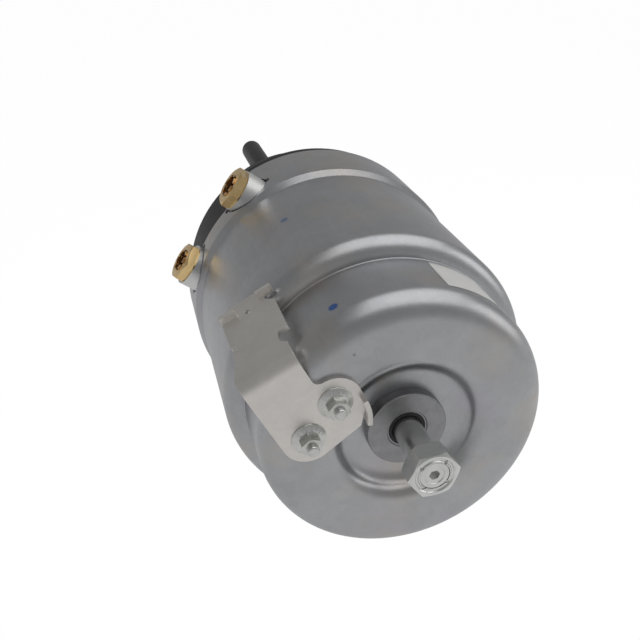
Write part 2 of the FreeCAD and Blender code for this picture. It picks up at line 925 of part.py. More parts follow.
def make_fitting(name, place):
    """A hexagon on a threaded shank with a stepped bore."""
    body = new_body(name + "_fitting")
    corner = size("fitting_across") * HEX_CORNER
    height = size("fitting_height")
    shank = size("port_bore") - size("running_gap")
    mouth = size("fitting_mouth")
    bevel = corner - size("fitting_across") * HALF
    revolve(body, name + "_turning", [
        (size("fitting_throat"), -size("fitting_shank")),
        (shank, -size("fitting_shank")),
        (shank, -size("port_ring_height")),
        (shank - size("fitting_undercut"), -size("port_ring_height")),
        (shank - size("fitting_undercut"), 0.0),
        (corner, 0.0),
        (corner, height - bevel * HALF),
        (corner - bevel, height),
        (mouth, height),
        (mouth, height - size("mouth_depth")),
        (size("fitting_throat"), height - size("mouth_depth")),
    ])
    cut_to_hexagon(body, name + "_hex", size("fitting_across"), 0.0, height)
    keep(body, name + "_fitting", place)


def make_collet(name, place):
    """The release ring: a sleeve with an outer flange cut into teeth."""
    body = new_body(name + "_collet")
    outer = size("fitting_mouth") - size("collet_gap")
    inner = outer - size("collet_wall")
    top = size("fitting_height") + size("collet_proud")
    low = size("fitting_height") - size("mouth_depth") + size("collet_lift")
    revolve(body, name + "_sleeve", [
        (inner, low),
        (outer, low),
        (outer, top),
        (inner, top),
    ])
    lift = Placement(Vector(0, 0, plain(top)), Rotation())
    sketch = new_sketch(body, name + "_teeth_sketch", "XY_Plane", lift)
    half_gap = size("tooth_gap") * HALF
    start = inner - size("collet_wall")
    end = outer + size("collet_wall")
    draw(sketch, [(start, -half_gap), (end, -half_gap), (end, half_gap), (start, half_gap)])
    first = pocket(body, sketch, name + "_tooth_gap", size("tooth_depth"))
    pattern = body.newObject("PartDesign::PolarPattern", name + "_teeth")
    pattern.Originals = [first]
    pattern.Axis = (sketch, ["N_Axis"])
    pattern.Angle = FULL_TURN
    pattern.Occurrences = int(SIZES["collet_teeth"])
    body.Tip = pattern
    keep(body, name + "_collet", place)


def make_port_ring(name, place):
    """The ring under the hexagon."""
    shank = size("port_bore") - size("running_gap") - size("fitting_undercut")
    part = ring(name + "_ring", shank + GAP, size("port_bore") - GAP, -size("port_ring_height") + GAP, -GAP)
    keep(part, name + "_ring", place)


def make_diaphragm():
    """A dished diaphragm with a thick edge."""
    body = new_body("diaphragm")
    bead = bead_inner
    outer = bead_outer
    seat = size("seat_level")
    edge = bead - size("dish_flat")
    centre = size("plate_radius") + size("dish_margin")
    lift = size("dish_height")
    revolve(body, "diaphragm_shape", [
        (0.0, diaphragm_low + lift),
        (centre, diaphragm_low + lift),
        (edge, diaphragm_low),
        (bead, diaphragm_low),
        (bead, seat),
        (outer, seat),
        (outer, flange_foot),
        (edge, flange_foot),
        (centre, flange_foot + lift),
        (0.0, flange_foot + lift),
    ])
    keep(body, "diaphragm")


def make_push_plate():
    """The plate that the diaphragm pushes."""
    part = ring("push_plate_part", size("rod_rivet_radius"), size("plate_radius"), plate_low, plate_top)
    keep(part, "push_plate")


def make_pushrod():
    """The rod, riveted in the plate, with a narrower rounded nose."""
    body = new_body("pushrod")
    radius = size("rod_radius")
    neck = size("rod_rivet_radius") - GAP
    nose = size("rod_nose_radius")
    end = size("face_level") - size("rod_reach")
    bend = size("rod_nose_round")
    shoulder = end + size("rod_nose_length")
    revolve(body, "rod_shape", [
        (0.0, end),
        (nose - bend, end),
        (nose, end + bend, nose - bend, end + bend),
        (nose, shoulder),
        (radius, shoulder),
        (radius, plate_low),
        (neck, plate_low),
        (neck, plate_top),
        (0.0, plate_top),
    ])
    keep(body, "pushrod")


def make_return_spring():
    """The light conical spring that pushes the plate back."""
    low = plain(housing_floor) + SIZES["spring_gap"]
    high = plain(plate_low) - SIZES["spring_gap"]
    spring = coil("return_spring", plain(return_radius), SIZES["return_wire"], SIZES["return_turns"],
                  low, high, SIZES["return_top_radius"])
    keep(spring, "return_spring")


def make_boot():
    """The rubber boot between the mounting face and the pushrod, with its clamp ring."""
    body = new_body("pushrod_boot")
    thick = size("boot_wall")
    face = size("face_opening") - size("spring_gap")
    lip = face + size("boot_lip")
    rod = size("rod_radius") + size("boot_gap")
    top = size("boot_top")
    start = size("face_level") + size("boot_setback")
    floor = housing_floor + size("boot_gap")
    middle = (face + rod) * HALF
    waist = (top + floor) * HALF
    grip = top - size("boot_grip_length")
    inner_waist = waist - thick * HALF
    inner_grip = grip - thick * HALF
    revolve(body, "boot_shape", [
        (face - thick, start),
        (face, start),
        (face, floor),
        (lip, floor),
        (lip, floor + thick),
        (middle + thick, floor + thick),
        (middle + thick, waist),
        (rod + thick, grip),
        (rod + thick, top),
        (rod, top),
        (rod, inner_grip),
        (middle, inner_waist),
        (middle, floor),
        (face - thick, floor),
    ])
    keep(body, "pushrod_boot")
    high = top - size("clamp_inset")
    inner = rod + thick + GAP
    clamp = ring("boot_clamp_part", inner, inner + size("clamp_wall"), high - size("clamp_height"), high)
    keep(clamp, "boot_clamp_ring")


def make_parking_piston():
    """The piston: a web with a deep rim that carries the seal and the guide ring."""
    body = new_body("parking_piston")
    outer = mid_inner - size("piston_gap")
    low = size("piston_low")
    top = low + size("piston_height")
    seat = low + size("piston_web")
    hole = size("hub_bore")
    rim = outer - size("piston_rim")
    revolve(body, "piston_shape", [
        (hole, low),
        (outer, low),
        (outer, top),
        (rim, top),
        (rim, seat),
        (hole, seat),
    ])
    cut_ring_grooves(body, outer, piston_grooves(), -1.0)
    keep(body, "parking_piston")
    for name, start, height in piston_grooves():
        part = ring(name + "_part", outer - size("seal_depth") + GAP, mid_inner - size("running_gap"),
                    start + GAP, start + height - GAP)
        keep(part, name)


def piston_grooves():
    """Name, level and height of each groove in the piston's rim."""
    low = size("piston_low")
    height = size("seal_height")
    return [
        ("piston_seal", low + size("seal_land"), height),
        ("piston_guide_ring", low + size("piston_height") - height - size("seal_land"), height),
    ]


def make_piston_tube():
    """The tube that pushes the diaphragm, hung on the piston by its collar, and its end plug."""
    body = new_body("piston_tube")
    plug = size("tube_end") + size("plug_thickness")
    revolve(body, "tube_shape", [
        (tube_inner, plug),
        (tube_outer, plug),
        (tube_outer, spring_seat),
        (size("collar_radius"), spring_seat),
        (size("collar_radius"), tube_top),
        (size("cap_hole"), tube_top),
        (size("cap_hole"), tube_top - size("tube_cap")),
        (tube_inner, tube_top - size("tube_cap")),
    ])
    keep(body, "piston_tube")
    plug_body = new_body("tube_end_plug")
    spigot = tube_inner - GAP
    spigot_top = plug + size("plug_spigot")
    chamfer = size("plug_chamfer")
    revolve(plug_body, "plug_shape", [
        (0.0, size("tube_end")),
        (tube_outer - chamfer, size("tube_end")),
        (tube_outer, size("tube_end") + chamfer),
        (tube_outer, plug),
        (spigot, plug),
        (spigot, spigot_top),
        (0.0, spigot_top),
    ])
    keep(plug_body, "tube_end_plug")


def make_power_spring():
    """The parking spring, held wound up between the piston and the can's end."""
    low = plain(spring_seat) + SIZES["spring_gap"]
    high = SIZES["can_end"] - SIZES["can_wall"] - SIZES["spring_gap"]
    spring = coil("power_spring", plain(spring_radius), SIZES["spring_wire"], SIZES["spring_turns"],
                  low, high)
    keep(spring, "power_spring")


def make_bolt_bush():
    """The disc in the recess with the threaded tube behind it, and its retaining ring."""
    body = new_body("bolt_bush")
    bore = size("bolt_radius") + size("running_gap")
    face = size("bush_face")
    seal_floor = face - size("bolt_seal_depth")
    seal_outer = size("bolt_seal_radius")
    rim = size("bush_radius")
    chamfer = size("bush_chamfer")
    revolve(body, "bush_shape", [
        (bore, size("bush_low")),
        (size("bush_tube"), size("bush_low")),
        (size("bush_tube"), recess_floor),
        (rim, recess_floor),
        (rim, face - chamfer),
        (rim - chamfer, face),
        (seal_outer, face),
        (seal_outer, seal_floor),
        (bore, seal_floor),
    ])
    keep(body, "bolt_bush")
    seal_top = face - size("bolt_seal_setback")
    seal = ring("bolt_seal_part", bore, seal_outer - GAP, seal_floor + GAP, seal_top)
    keep(seal, "bolt_seal")
    under = recess_floor - wall
    ring_low = under - size("retainer_height")
    retainer = ring("retainer_part", size("bush_tube") + GAP, size("retainer_radius"), ring_low, under - GAP)
    keep(retainer, "bush_retaining_ring")


def make_release_bolt():
    """The bolt: a smooth shank with a thrust head inside the tube, and its staked hexagon."""
    body = new_body("release_bolt")
    radius = size("bolt_radius")
    low = size("bolt_head_low")
    head = low + size("bolt_head_height")
    tip = size("hex_top") - size("tip_setback")
    chamfer = size("tip_chamfer")
    revolve(body, "bolt_shape", [
        (0.0, low),
        (size("bolt_head_radius"), low),
        (size("bolt_head_radius"), head),
        (radius, head),
        (radius, tip - chamfer),
        (radius - chamfer, tip),
        (0.0, tip),
    ])
    lift = Placement(Vector(0, 0, plain(tip)), Rotation())
    sketch = new_sketch(body, "socket_sketch", "XY_Plane", lift)
    sketch.setExpression("AttachmentOffset.Base.z", tip.formula)
    draw(sketch, hexagon(size("socket_across")))
    pocket(body, sketch, "socket", size("socket_depth"))
    turn = Placement(Vector(0, 0, 0), Rotation(Vector(0, 0, 1), SIZES["hex_corner_angle"]))
    keep(body, "release_bolt", turn)
    make_release_hex(radius, turn)
    washer = ring("thrust_part", radius + size("thrust_gap"), size("bolt_head_radius"), head + GAP,
                  head + size("thrust_height"))
    keep(washer, "bolt_thrust_washer")


def make_release_hex(radius, turn):
    """The 24 mm hexagon with the ring groove left by staking."""
    body = new_body("release_hex_nut")
    across = size("bolt_across")
    corner = across * HEX_CORNER
    bevel = corner - across * HALF
    low = size("hex_under")
    top = size("hex_top")
    stake = size("stake_groove_radius")
    groove_depth = size("stake_groove_depth")
    revolve(body, "hex_turning", [
        (radius + GAP, low),
        (corner - bevel, low),
        (corner, low + bevel * HALF),
        (corner, top - bevel * HALF),
        (corner - bevel, top),
        (stake + groove_depth, top),
        (stake, top - groove_depth),
        (stake - groove_depth, top),
        (radius + GAP, top),
    ])
    cut_to_hexagon(body, "release_hex", across, low, top - low)
    keep(body, "release_hex_nut", turn)


def bracket_place():
    """The bracket's own frame: X across it, Y outward, Z along the chamber."""
    turn = SIZES["bracket_angle"] - QUARTER_TURN
    return Placement(Vector(0, 0, 0), Rotation(Vector(0, 0, 1), turn))


def make_bracket():
    """The formed bracket: a plate on the can's end bent over to a flared plate beside the can."""
    body = new_body("bracket")
    sketch = new_sketch(body, "bracket_section", "YZ_Plane",
                        Placement(Vector(0, 0, -SIZES["bracket_left"] - CUT_MARGIN * STEP_END), Rotation()))
    face = size("can_end")
    thick = size("bracket_sheet")
    inner = size("bend_inner")
    outer = inner + thick
    start = bend_start
    centre = face - inner
    lean = math.radians(SIZES["bracket_flare"])
    reach = size("bracket_reach")
    foot = size("second_stud_out") - size("lobe_radius") - CUT_MARGIN * STEP_END
    draw(sketch, [
        (foot, face),
        (start, face),
        (start + inner * math.cos(lean), centre + inner * math.sin(lean), start, centre),
        (start + inner * math.cos(lean) + reach * math.sin(lean),
         centre + inner * math.sin(lean) - reach * math.cos(lean)),
        (start + outer * math.cos(lean) + reach * math.sin(lean),
         centre + outer * math.sin(lean) - reach * math.cos(lean)),
        (start + outer * math.cos(lean), centre + outer * math.sin(lean)),
        (start, face + thick, start, centre),
        (foot, face + thick),
    ])
    pad(body, sketch, "bracket_strip", size("bracket_left"))
    trim_end_plate(body)
    trim_side_plate(body)
    add_hook(body)
    add_lugs(body)
    drill_bracket(body)
    keep(body, "bracket", bracket_place())


def trim_end_plate(body):
    """Cut the plate on the can's end to its rounded outline round the two studs."""
    lift = Placement(Vector(0, 0, SIZES["can_end"] - SIZES["bend_inner"]), Rotation())
    sketch = new_sketch(body, "end_outline", "XY_Plane", lift)
    sketch.setExpression("AttachmentOffset.Base.z", "Sizes.can_end - Sizes.bend_inner")
    radius = size("lobe_radius")
    left = -size("bracket_left")
    right = -size("bracket_right")
    start = bend_start + size("bend_inner") + size("bracket_sheet") * 2.0
    first_x = -size("first_stud_across")
    first_y = size("first_stud_out")
    second_x = -size("second_stud_across")
    second_y = size("second_stud_out")
    neck = first_x - right
    # The lower edge leaves the second stud's arc at a small slope towards the first stud
    slope = math.radians(SIZES["end_slope"])
    low_x = second_x + radius * math.sin(slope)
    low_y = second_y - radius * math.cos(slope)
    inner_x = first_x + radius * math.cos(slope)
    margin = CUT_MARGIN
    big_right = first_x + radius + margin
    draw(sketch, [
        (left - margin, start),
        (left - margin, second_y - radius - margin),
        (big_right, second_y - radius - margin),
        (big_right, start),
        (right, start),
        (right, first_y + radius + neck),
        (first_x, first_y + radius, first_x, first_y + radius + neck),
        (first_x + radius, first_y, first_x, first_y),
        (inner_x, first_y - radius * math.sin(slope) - size("inner_drop")),
        (inner_x - size("inner_cut"), first_y - radius - size("inner_foot")),
        (low_x, low_y),
        (second_x, second_y - radius, second_x, second_y),
        (second_x - radius, second_y, second_x, second_y),
        (second_x - radius, start),
    ])
    pocket(body, sketch, "end_trim", size("bend_inner") + size("bracket_sheet") * 2.0, flip=True)


def trim_side_plate(body):
    """Cut the flared plate's edges: the notch, the steps and the narrowed top."""
    depth = size("bend_inner") - bend_start
    back = Placement(Vector(0, 0, plain(depth)), Rotation())
    sketch = new_sketch(body, "side_outline", "XZ_Plane", back)
    sketch.setExpression("AttachmentOffset.Base.z", depth.formula)
    end = size("can_end")
    bend = end - size("bend_inner")
    left = -size("bracket_left")
    low = bend - size("bracket_reach") - CUT_MARGIN
    top = end - size("bracket_reach") - size("side_tail")
    outline = [(left - CUT_MARGIN, bend), (left, bend)]
    outline += left_edge(left, end, top)
    outline += right_edge(-size("bracket_right"), end, top)
    outline += [(CUT_MARGIN, bend), (CUT_MARGIN, low), (left - CUT_MARGIN, low)]
    draw(sketch, outline)
    pocket(body, sketch, "side_trim", size("bracket_reach") * HALF)


def left_edge(left, end, top):
    """The side plate's left edge, with its notch, down to the narrowed foot."""
    inset = left + size("left_inset")
    notch = inset + size("left_notch_depth")
    return [
        (left + size("left_shoulder_inset"), end - size("left_shoulder_drop")),
        (inset, end - size("left_notch_start")),
        (notch, end - size("left_notch_start")),
        (notch, end - size("left_notch_end")),
        (inset, end - size("left_notch_end")),
        (inset, end - size("left_foot_start")),
        (left + size("left_foot_inset"), end - size("left_foot_end")),
        (left + size("left_foot_inset"), top),
    ]


def right_edge(right, end, top):
    """The side plate's right edge, up from the foot past the tab and the waist to the bend."""
    foot = right - size("right_foot_inset")
    tab = right + size("right_tab")
    waist = right - size("right_waist_inset")
    return [
        (foot, top),
        (foot, end - size("right_foot_start")),
        (tab, end - size("right_tab_end")),
        (tab, end - size("right_waist_end")),
        (waist, end - size("right_waist_end")),
        (waist, end - size("right_waist_start")),
        (right, end - size("right_shoulder_drop")),
        (right, end - size("bend_inner")),
    ]


def add_hook(body):
    """The turned-up hook beside the bolt's disc."""
    lift = Placement(Vector(0, 0, SIZES["can_end"]), Rotation())
    sketch = new_sketch(body, "hook_outline", "XY_Plane", lift)
    sketch.setExpression("AttachmentOffset.Base.z", "Sizes.can_end")
    edge = -size("first_stud_across") + size("lobe_radius")
    mid = size("first_stud_out")
    thick = size("bracket_sheet")
    lean = size("hook_lean")
    top = mid - size("hook_start")
    drop = size("hook_tip") - size("hook_start")
    # The hook is a band round a centre level with its start, and its end leans this far inwards
    curve = (lean * lean + drop * drop) / (lean * 2.0)
    centre = edge - curve
    inner = (curve - thick) / curve
    draw(sketch, [
        (edge - thick, top),
        (edge, top),
        (edge - lean, top - drop, centre, top),
        (centre + (curve - lean) * inner, top - drop * inner),
        (edge - thick, top, centre, top),
    ])
    pad(body, sketch, "hook", thick + size("hook_rise"))


def add_lugs(body):
    """Two small turned-out lugs at the top corners of the side plate."""
    level = size("can_end") - size("bracket_reach")
    lean = math.tan(math.radians(SIZES["bracket_flare"]))
    plate = bend_start + size("bend_inner") + size("bracket_reach") * lean
    back = Placement(Vector(0, 0, -plain(plate)), Rotation())
    sketch = new_sketch(body, "lug_outline", "XZ_Plane", back)
    sketch.setExpression("AttachmentOffset.Base.z", (-plate).formula)
    width = size("lug_width")
    height = size("lug_height")
    right_end = size("right_lug_overhang") - size("bracket_right")
    right_low = level - size("right_lug_drop")
    left_start = size("left_lug_inset") - size("bracket_left")
    left_low = level + size("left_lug_rise")
    draw(sketch, [
        (right_end - width, right_low),
        (right_end, right_low),
        (right_end, right_low + height),
        (right_end - width, right_low + height),
    ])
    draw(sketch, [
        (left_start, left_low),
        (left_start + width, left_low),
        (left_start + width, left_low + height),
        (left_start, left_low + height),
    ])
    pad(body, sketch, "lugs", size("lug_reach"), flip=True)


def drill_bracket(body):
    """The stud holes and the small hole in the side plate."""
    lift = Placement(Vector(0, 0, SIZES["can_end"] - SIZES["bracket_sheet"]), Rotation())
    sketch = new_sketch(body, "bracket_holes", "XY_Plane", lift)
    sketch.setExpression("AttachmentOffset.Base.z", "Sizes.can_end - Sizes.bracket_sheet")
    for name in ("first_stud", "second_stud"):
        hole = size("small_stud_radius") + size("fastener_gap")
        draw_circle(sketch, -size(name + "_across"), size(name + "_out"), hole)
    pocket(body, sketch, "bracket_stud_holes", size("bracket_sheet") * 3.0, flip=True)
    back = Placement(Vector(0, 0, -plain(bend_start)), Rotation())
    sketch = new_sketch(body, "side_hole", "XZ_Plane", back)
    sketch.setExpression("AttachmentOffset.Base.z", (-bend_start).formula)
    across = size("side_hole_across") - size("bracket_left")
    draw_circle(sketch, across, size("can_end") - size("side_hole_drop"), size("side_hole_radius"))
    pocket(body, sketch, "side_hole_cut", size("bracket_reach") * HALF)


def bracket_spots():
    """The two stud places in chamber coordinates."""
    frame = bracket_place()
    spots = []
    for name in ("first_stud", "second_stud"):
        spots.append(frame.multVec(Vector(-SIZES[name + "_across"], SIZES[name + "_out"], 0)))
    return spots


def make_bracket_fasteners():
    """Studs welded to the can, with a cup washer and a nut on each."""
    studs = []
    washers = []
    nuts = []
    turns = (SIZES["first_nut_turn"], SIZES["second_nut_turn"])
    for number, (spot, turn) in enumerate(zip(bracket_spots(), turns)):
        studs.append(make_small_stud(number, spot))
        washers.append(make_cup_washer(number, spot))
        nuts.append(make_small_nut(number, spot, turn))
    group("bracket_studs", studs)
    group("bracket_washers", washers)
    group("bracket_nuts", nuts)


def make_small_stud(number, spot):
    """A plain M6 stud that stands on the can's end."""
    body = new_body("bracket_stud_%d" % number)
    radius = size("small_stud_radius")
    chamfer = size("small_stud_chamfer")
    face = size("can_end")
    end = face + size("small_stud_reach")
    revolve(body, "bracket_stud_shape_%d" % number, [
        (0.0, face),
        (radius, face),
        (radius, end - chamfer),
        (radius - chamfer, end),
        (0.0, end),
    ])
    body.Placement = Placement(spot, Rotation())
    return body


def make_cup_washer(number, spot):
    """A washer whose rim lies on the bracket and whose crown carries the nut."""
    body = new_body("bracket_washer_%d" % number)
    hole = size("small_stud_radius") + size("fastener_gap")
    rim = size("washer_radius")
    crown = size("small_nut_across") * HEX_CORNER + size("fastener_gap")
    top = bracket_face + size("washer_height")
    revolve(body, "bracket_washer_shape_%d" % number, [
        (hole, bracket_face),
        (rim, bracket_face),
        (rim, bracket_face + size("washer_rim")),
        (crown, top),
        (hole, top),
    ])
    body.Placement = Placement(spot, Rotation())
    return body


def make_small_nut(number, spot, turn):
    """A hexagon nut with a chamfered top."""
    body = new_body("bracket_nut_%d" % number)
    across = size("small_nut_across")
    height = size("small_nut_height")
    corner = across * HEX_CORNER
    bevel = corner - across * HALF
    hole = size("small_stud_radius") + GAP
    low = bracket_face + size("washer_height")
    top = low + height
    revolve(body, "bracket_nut_shape_%d" % number, [
        (hole, low),
        (corner, low),
        (corner, top - bevel * HALF),
        (corner - bevel, top),
        (hole, top),
    ])
    cut_to_hexagon(body, "bracket_nut_hex_%d" % number, across, low, height)
    body.Placement = Placement(spot, Rotation(Vector(0, 0, 1), turn))
    return body


def make_label():
    """The blank sticker on the can's near section."""
    body = new_body("label")
    sketch = new_sketch(body, "label_section", "XZ_Plane",
                        Placement(Vector(0, 0, 0), Rotation(Vector(0, 1, 0), SIZES["label_start"])))
    inner = near_radius
    draw(sketch, [
        (inner, size("label_low")),
        (inner + size("label_thickness"), size("label_low")),
        (inner + size("label_thickness"), size("label_high")),
        (inner, size("label_high")),
    ])
    feature = body.newObject("PartDesign::Revolution", "label_sweep_shape")
    feature.Profile = sketch
    feature.ReferenceAxis = (sketch, ["V_Axis"])
    feature.Angle = SIZES["label_sweep"]
    feature.setExpression("Angle", "Sizes.label_sweep")
    keep(body, "label")


def check_and_write():
    """Check every object and write each node's solid."""
    document.recompute()
    for item in document.Objects:
        if "Invalid" in item.State or "Error" in item.State:
            raise RuntimeError("%s is %s" % (item.Name, item.State))
    os.makedirs("parts", exist_ok=True)
    for node in nodes:
        shape = node.Shape
        if shape.isNull() or not shape.isValid():
            raise RuntimeError("%s has no valid shape" % node.Label)
        shape.exportStep(os.path.join("parts", node.Label + ".step"))
        print("%-24s solids %d volume %10.1f" % (node.Label, len(shape.Solids), shape.Volume))


make_spring_housing()
make_service_housing()
make_mounting_studs()
make_flange_body()
make_hub_rings()
make_flange_seal()
make_port_fittings()
make_diaphragm()
make_push_plate()
make_pushrod()
make_return_spring()
make_boot()
make_parking_piston()
make_piston_tube()
make_power_spring()
make_bolt_bush()
make_release_bolt()
make_bracket()
make_bracket_fasteners()
make_label()
check_and_write()
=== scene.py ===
import logging
import math
from dataclasses import dataclass, field
from enum import Enum

import bmesh
import bpy
from mathutils import Matrix, Vector


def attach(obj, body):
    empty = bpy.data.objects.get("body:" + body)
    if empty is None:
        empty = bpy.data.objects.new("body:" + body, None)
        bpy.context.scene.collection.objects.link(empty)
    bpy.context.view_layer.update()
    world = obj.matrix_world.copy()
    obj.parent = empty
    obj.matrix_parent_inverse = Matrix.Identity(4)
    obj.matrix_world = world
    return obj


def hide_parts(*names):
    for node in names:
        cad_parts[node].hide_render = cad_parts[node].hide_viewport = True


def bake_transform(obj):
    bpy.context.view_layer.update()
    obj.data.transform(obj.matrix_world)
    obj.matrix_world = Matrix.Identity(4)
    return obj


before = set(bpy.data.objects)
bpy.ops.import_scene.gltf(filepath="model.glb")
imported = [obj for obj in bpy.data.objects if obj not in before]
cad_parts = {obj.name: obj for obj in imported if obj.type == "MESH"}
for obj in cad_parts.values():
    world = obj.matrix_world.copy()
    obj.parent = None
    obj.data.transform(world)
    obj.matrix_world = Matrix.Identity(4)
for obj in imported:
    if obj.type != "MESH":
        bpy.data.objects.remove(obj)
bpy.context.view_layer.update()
LOG = logging.getLogger("brake_chamber")

MM = 0.001
Corner = tuple[float, float, float]
Point = tuple[float, float, float]
Colour = tuple[float, float, float]
Socket = bpy.types.NodeSocket
Looks = dict[str, bpy.types.Material]
WHITE: Colour = (1.0, 1.0, 1.0)
# Chamber coordinates have the axis along Z and are in millimetres; the row frame has it along -Y, in metres,
# with the mounting face at its origin
FACE_LEVEL = 34.0
TO_ROW = Matrix.Scale(MM, 4) @ Matrix(((1, 0, 0, 0), (0, 0, -1, FACE_LEVEL), (0, 1, 0, 0), (0, 0, 0, 1)))
# Lengths and turns so small that points count as one, and runs and faces as straight
TINY = 1e-6
NEARLY_STRAIGHT = 1e-3
SAME_POINT_MM = 1e-5
SAME_POINT_METRES = 2e-6
FLAT_TURN = 0.6
# Turns in degrees from which an edge stays sharp, or is rounded by a bevel
SHARP_TURN = 32.0
BEVEL_TURN = 30.0
BEVEL_STEPS = 3
# Distance of each port from the plane between the two, and the ports' level along the axis
PORT_SPACING = 30.0
PORT_LEVEL = 132.0
# The values that most of a noise texture stays within
NOISE_SPAN = (0.3, 0.7)


class Body(str, Enum):
    """The bodies that whole pieces ride on; a blended piece is given no body in its call."""

    HOUSING = "housing"
    BOLT = "bolt"


class Turn(float, Enum):
    """Directions round the axis in degrees, seen along it, from the row's +X towards +Z."""

    PORTS = 144.5
    HEX = 8.0


class Carving(str, Enum):
    """What a boolean does with what two shapes share."""

    CUT = "DIFFERENCE"
    KEEP = "INTERSECT"


def polar(radius: float, angle: float, level: float = 0.0) -> Vector:
    """A point in chamber coordinates.

    Args:
        radius: Distance from the axis in millimetres.
        angle: Direction round the axis in degrees.
        level: Height along the axis in millimetres.

    Returns:
        The point.
    """
    turn = math.radians(angle)
    return Vector((radius * math.cos(turn), radius * math.sin(turn), level))


def rounded(corners: list[Corner], step: float = 9.0) -> list[tuple[float, float]]:
    """Round the corners of a closed outline.

    Args:
        corners: Points as (x, y, radius of the rounding).
        step: Largest turn between two points of a rounding in degrees.

    Returns:
        The points of the rounded outline.
    """
    points: list[tuple[float, float]] = []
    count = len(corners)
    for number, (x, y, radius) in enumerate(corners):
        here = Vector((x, y))
        before = Vector(corners[number - 1][:2]) - here
        after = Vector(corners[(number + 1) % count][:2]) - here
        if radius <= 0 or before.length < TINY or after.length < TINY:
            points.append((x, y))
            continue
        before.normalize()
        after.normalize()
        inside = before.angle(after)
        if inside > math.pi - NEARLY_STRAIGHT:
            points.append((x, y))
            continue
        reach = radius / math.tan(inside / 2)
        start = here + before * reach
        end = here + after * reach
        centre = here + (before + after).normalized() * (radius / math.sin(inside / 2))
        first = start - centre
        sweep = first.angle_signed(end - centre)
        pieces = max(2, math.ceil(abs(math.degrees(sweep)) / step))
        for piece in range(pieces + 1):
            turned = first.copy()
            turned.rotate(Matrix.Rotation(-sweep * piece / pieces, 2))
            spot = centre + turned
            points.append((spot.x, spot.y))
    return points


def lathe(points: list[tuple[float, float]], segments: int = 96) -> bmesh.types.BMesh:
    """Turn a closed outline round the chamber's axis.

    Args:
        points: The outline as (radius, level).
        segments: Number of steps round the axis.

    Returns:
        The closed mesh in chamber coordinates.
    """
    work = bmesh.new()
    rings = []
    for number in range(segments):
        turn = 2 * math.pi * number / segments
        rings.append([work.verts.new((r * math.cos(turn), r * math.sin(turn), z)) for r, z in points])
    for number in range(segments):
        near, far = rings[number], rings[(number + 1) % segments]
        for spot in range(len(points)):
            following = (spot + 1) % len(points)
            if points[spot][0] < TINY and points[following][0] < TINY:
                continue
            work.faces.new((near[spot], near[following], far[following], far[spot]))
    bmesh.ops.remove_doubles(work, verts=work.verts, dist=SAME_POINT_MM)
    bmesh.ops.dissolve_degenerate(work, edges=work.edges, dist=TINY)
    return work


def prism(points: list[tuple[float, float]], low: float, high: float) -> bmesh.types.BMesh:
    """Extrude a flat outline along the chamber's axis.

    Args:
        points: The outline as (x, y).
        low: Level of the foot.
        high: Level of the top.

    Returns:
        The closed mesh in chamber coordinates.
    """
    work = bmesh.new()
    foot = [work.verts.new((x, y, low)) for x, y in points]
    top = [work.verts.new((x, y, high)) for x, y in points]
    work.faces.new(foot)
    work.faces.new(top)
    for number in range(len(points)):
        following = (number + 1) % len(points)
        work.faces.new((foot[number], foot[following], top[following], top[number]))
    return work


def hexagon_outline(corner: float) -> list[tuple[float, float]]:
    """The corners of a hexagon.

    Args:
        corner: Distance of each corner from the middle.

    Returns:
        The corners as (x, y).
    """
    turns = [math.radians(60 * number) for number in range(6)]
    return [(corner * math.cos(turn), corner * math.sin(turn)) for turn in turns]


def port_axes(across: float, out: float = 0.0) -> Matrix:
    """Axes at the ports' level: X runs across both ports, Y along the chamber and Z outward.

    Args:
        across: Distance of the origin from the plane between the ports.
        out: Its distance from the chamber's axis.

    Returns:
        The place of these axes in chamber coordinates.
    """
    turn = math.radians(Turn.PORTS)
    away = Vector((math.cos(turn), math.sin(turn), 0.0))
    side = Vector((-math.sin(turn), math.cos(turn), 0.0))
    base = away * out + side * across
    return Matrix((
        (side.x, 0.0, away.x, base.x),
        (side.y, 0.0, away.y, base.y),
        (0.0, 1.0, 0.0, PORT_LEVEL),
        (0.0, 0.0, 0.0, 1.0)))


def in_scene(name: str, data: bpy.types.ID) -> bpy.types.Object:
    """Put a mesh, a lamp or a camera into the scene.

    Args:
        name: The object's name.
        data: What it shows.

    Returns:
        The new object.
    """
    thing = bpy.data.objects.new(name, data)
    bpy.context.scene.collection.objects.link(thing)
    return thing


def shade(mesh: bpy.types.Mesh) -> None:
    """Shade a mesh smooth, apart from its sharp edges.

    Args:
        mesh: The mesh.
    """
    mesh.shade_smooth()
    mesh.set_sharp_from_angle(angle=math.radians(SHARP_TURN))


def as_object(name: str, work: bmesh.types.BMesh, place: Matrix | None = None,
              in_row: bool = False) -> bpy.types.Object:
    """Make an object from a mesh in chamber coordinates, laid in the row frame.

    Args:
        name: The object's name.
        work: The mesh, which is used up.
        place: Where the piece goes in chamber coordinates.
        in_row: True if the mesh is in the row frame already.

    Returns:
        The new object.
    """
    if place is not None:
        bmesh.ops.transform(work, matrix=place, verts=work.verts)
    if not in_row:
        bmesh.ops.transform(work, matrix=TO_ROW, verts=work.verts)
    bmesh.ops.recalc_face_normals(work, faces=work.faces)
    mesh = bpy.data.meshes.new(name)
    work.to_mesh(mesh)
    work.free()
    shade(mesh)
    return in_scene(name, mesh)


def bake_modifiers(piece: bpy.types.Object) -> None:
    """Turn a piece with its modifiers into a plain mesh.

    Args:
        piece: The piece.
    """
    bpy.context.view_layer.update()
    seen = piece.evaluated_get(bpy.context.evaluated_depsgraph_get())
    mesh = bpy.data.meshes.new_from_object(seen)
    piece.modifiers.clear()
    piece.data = mesh


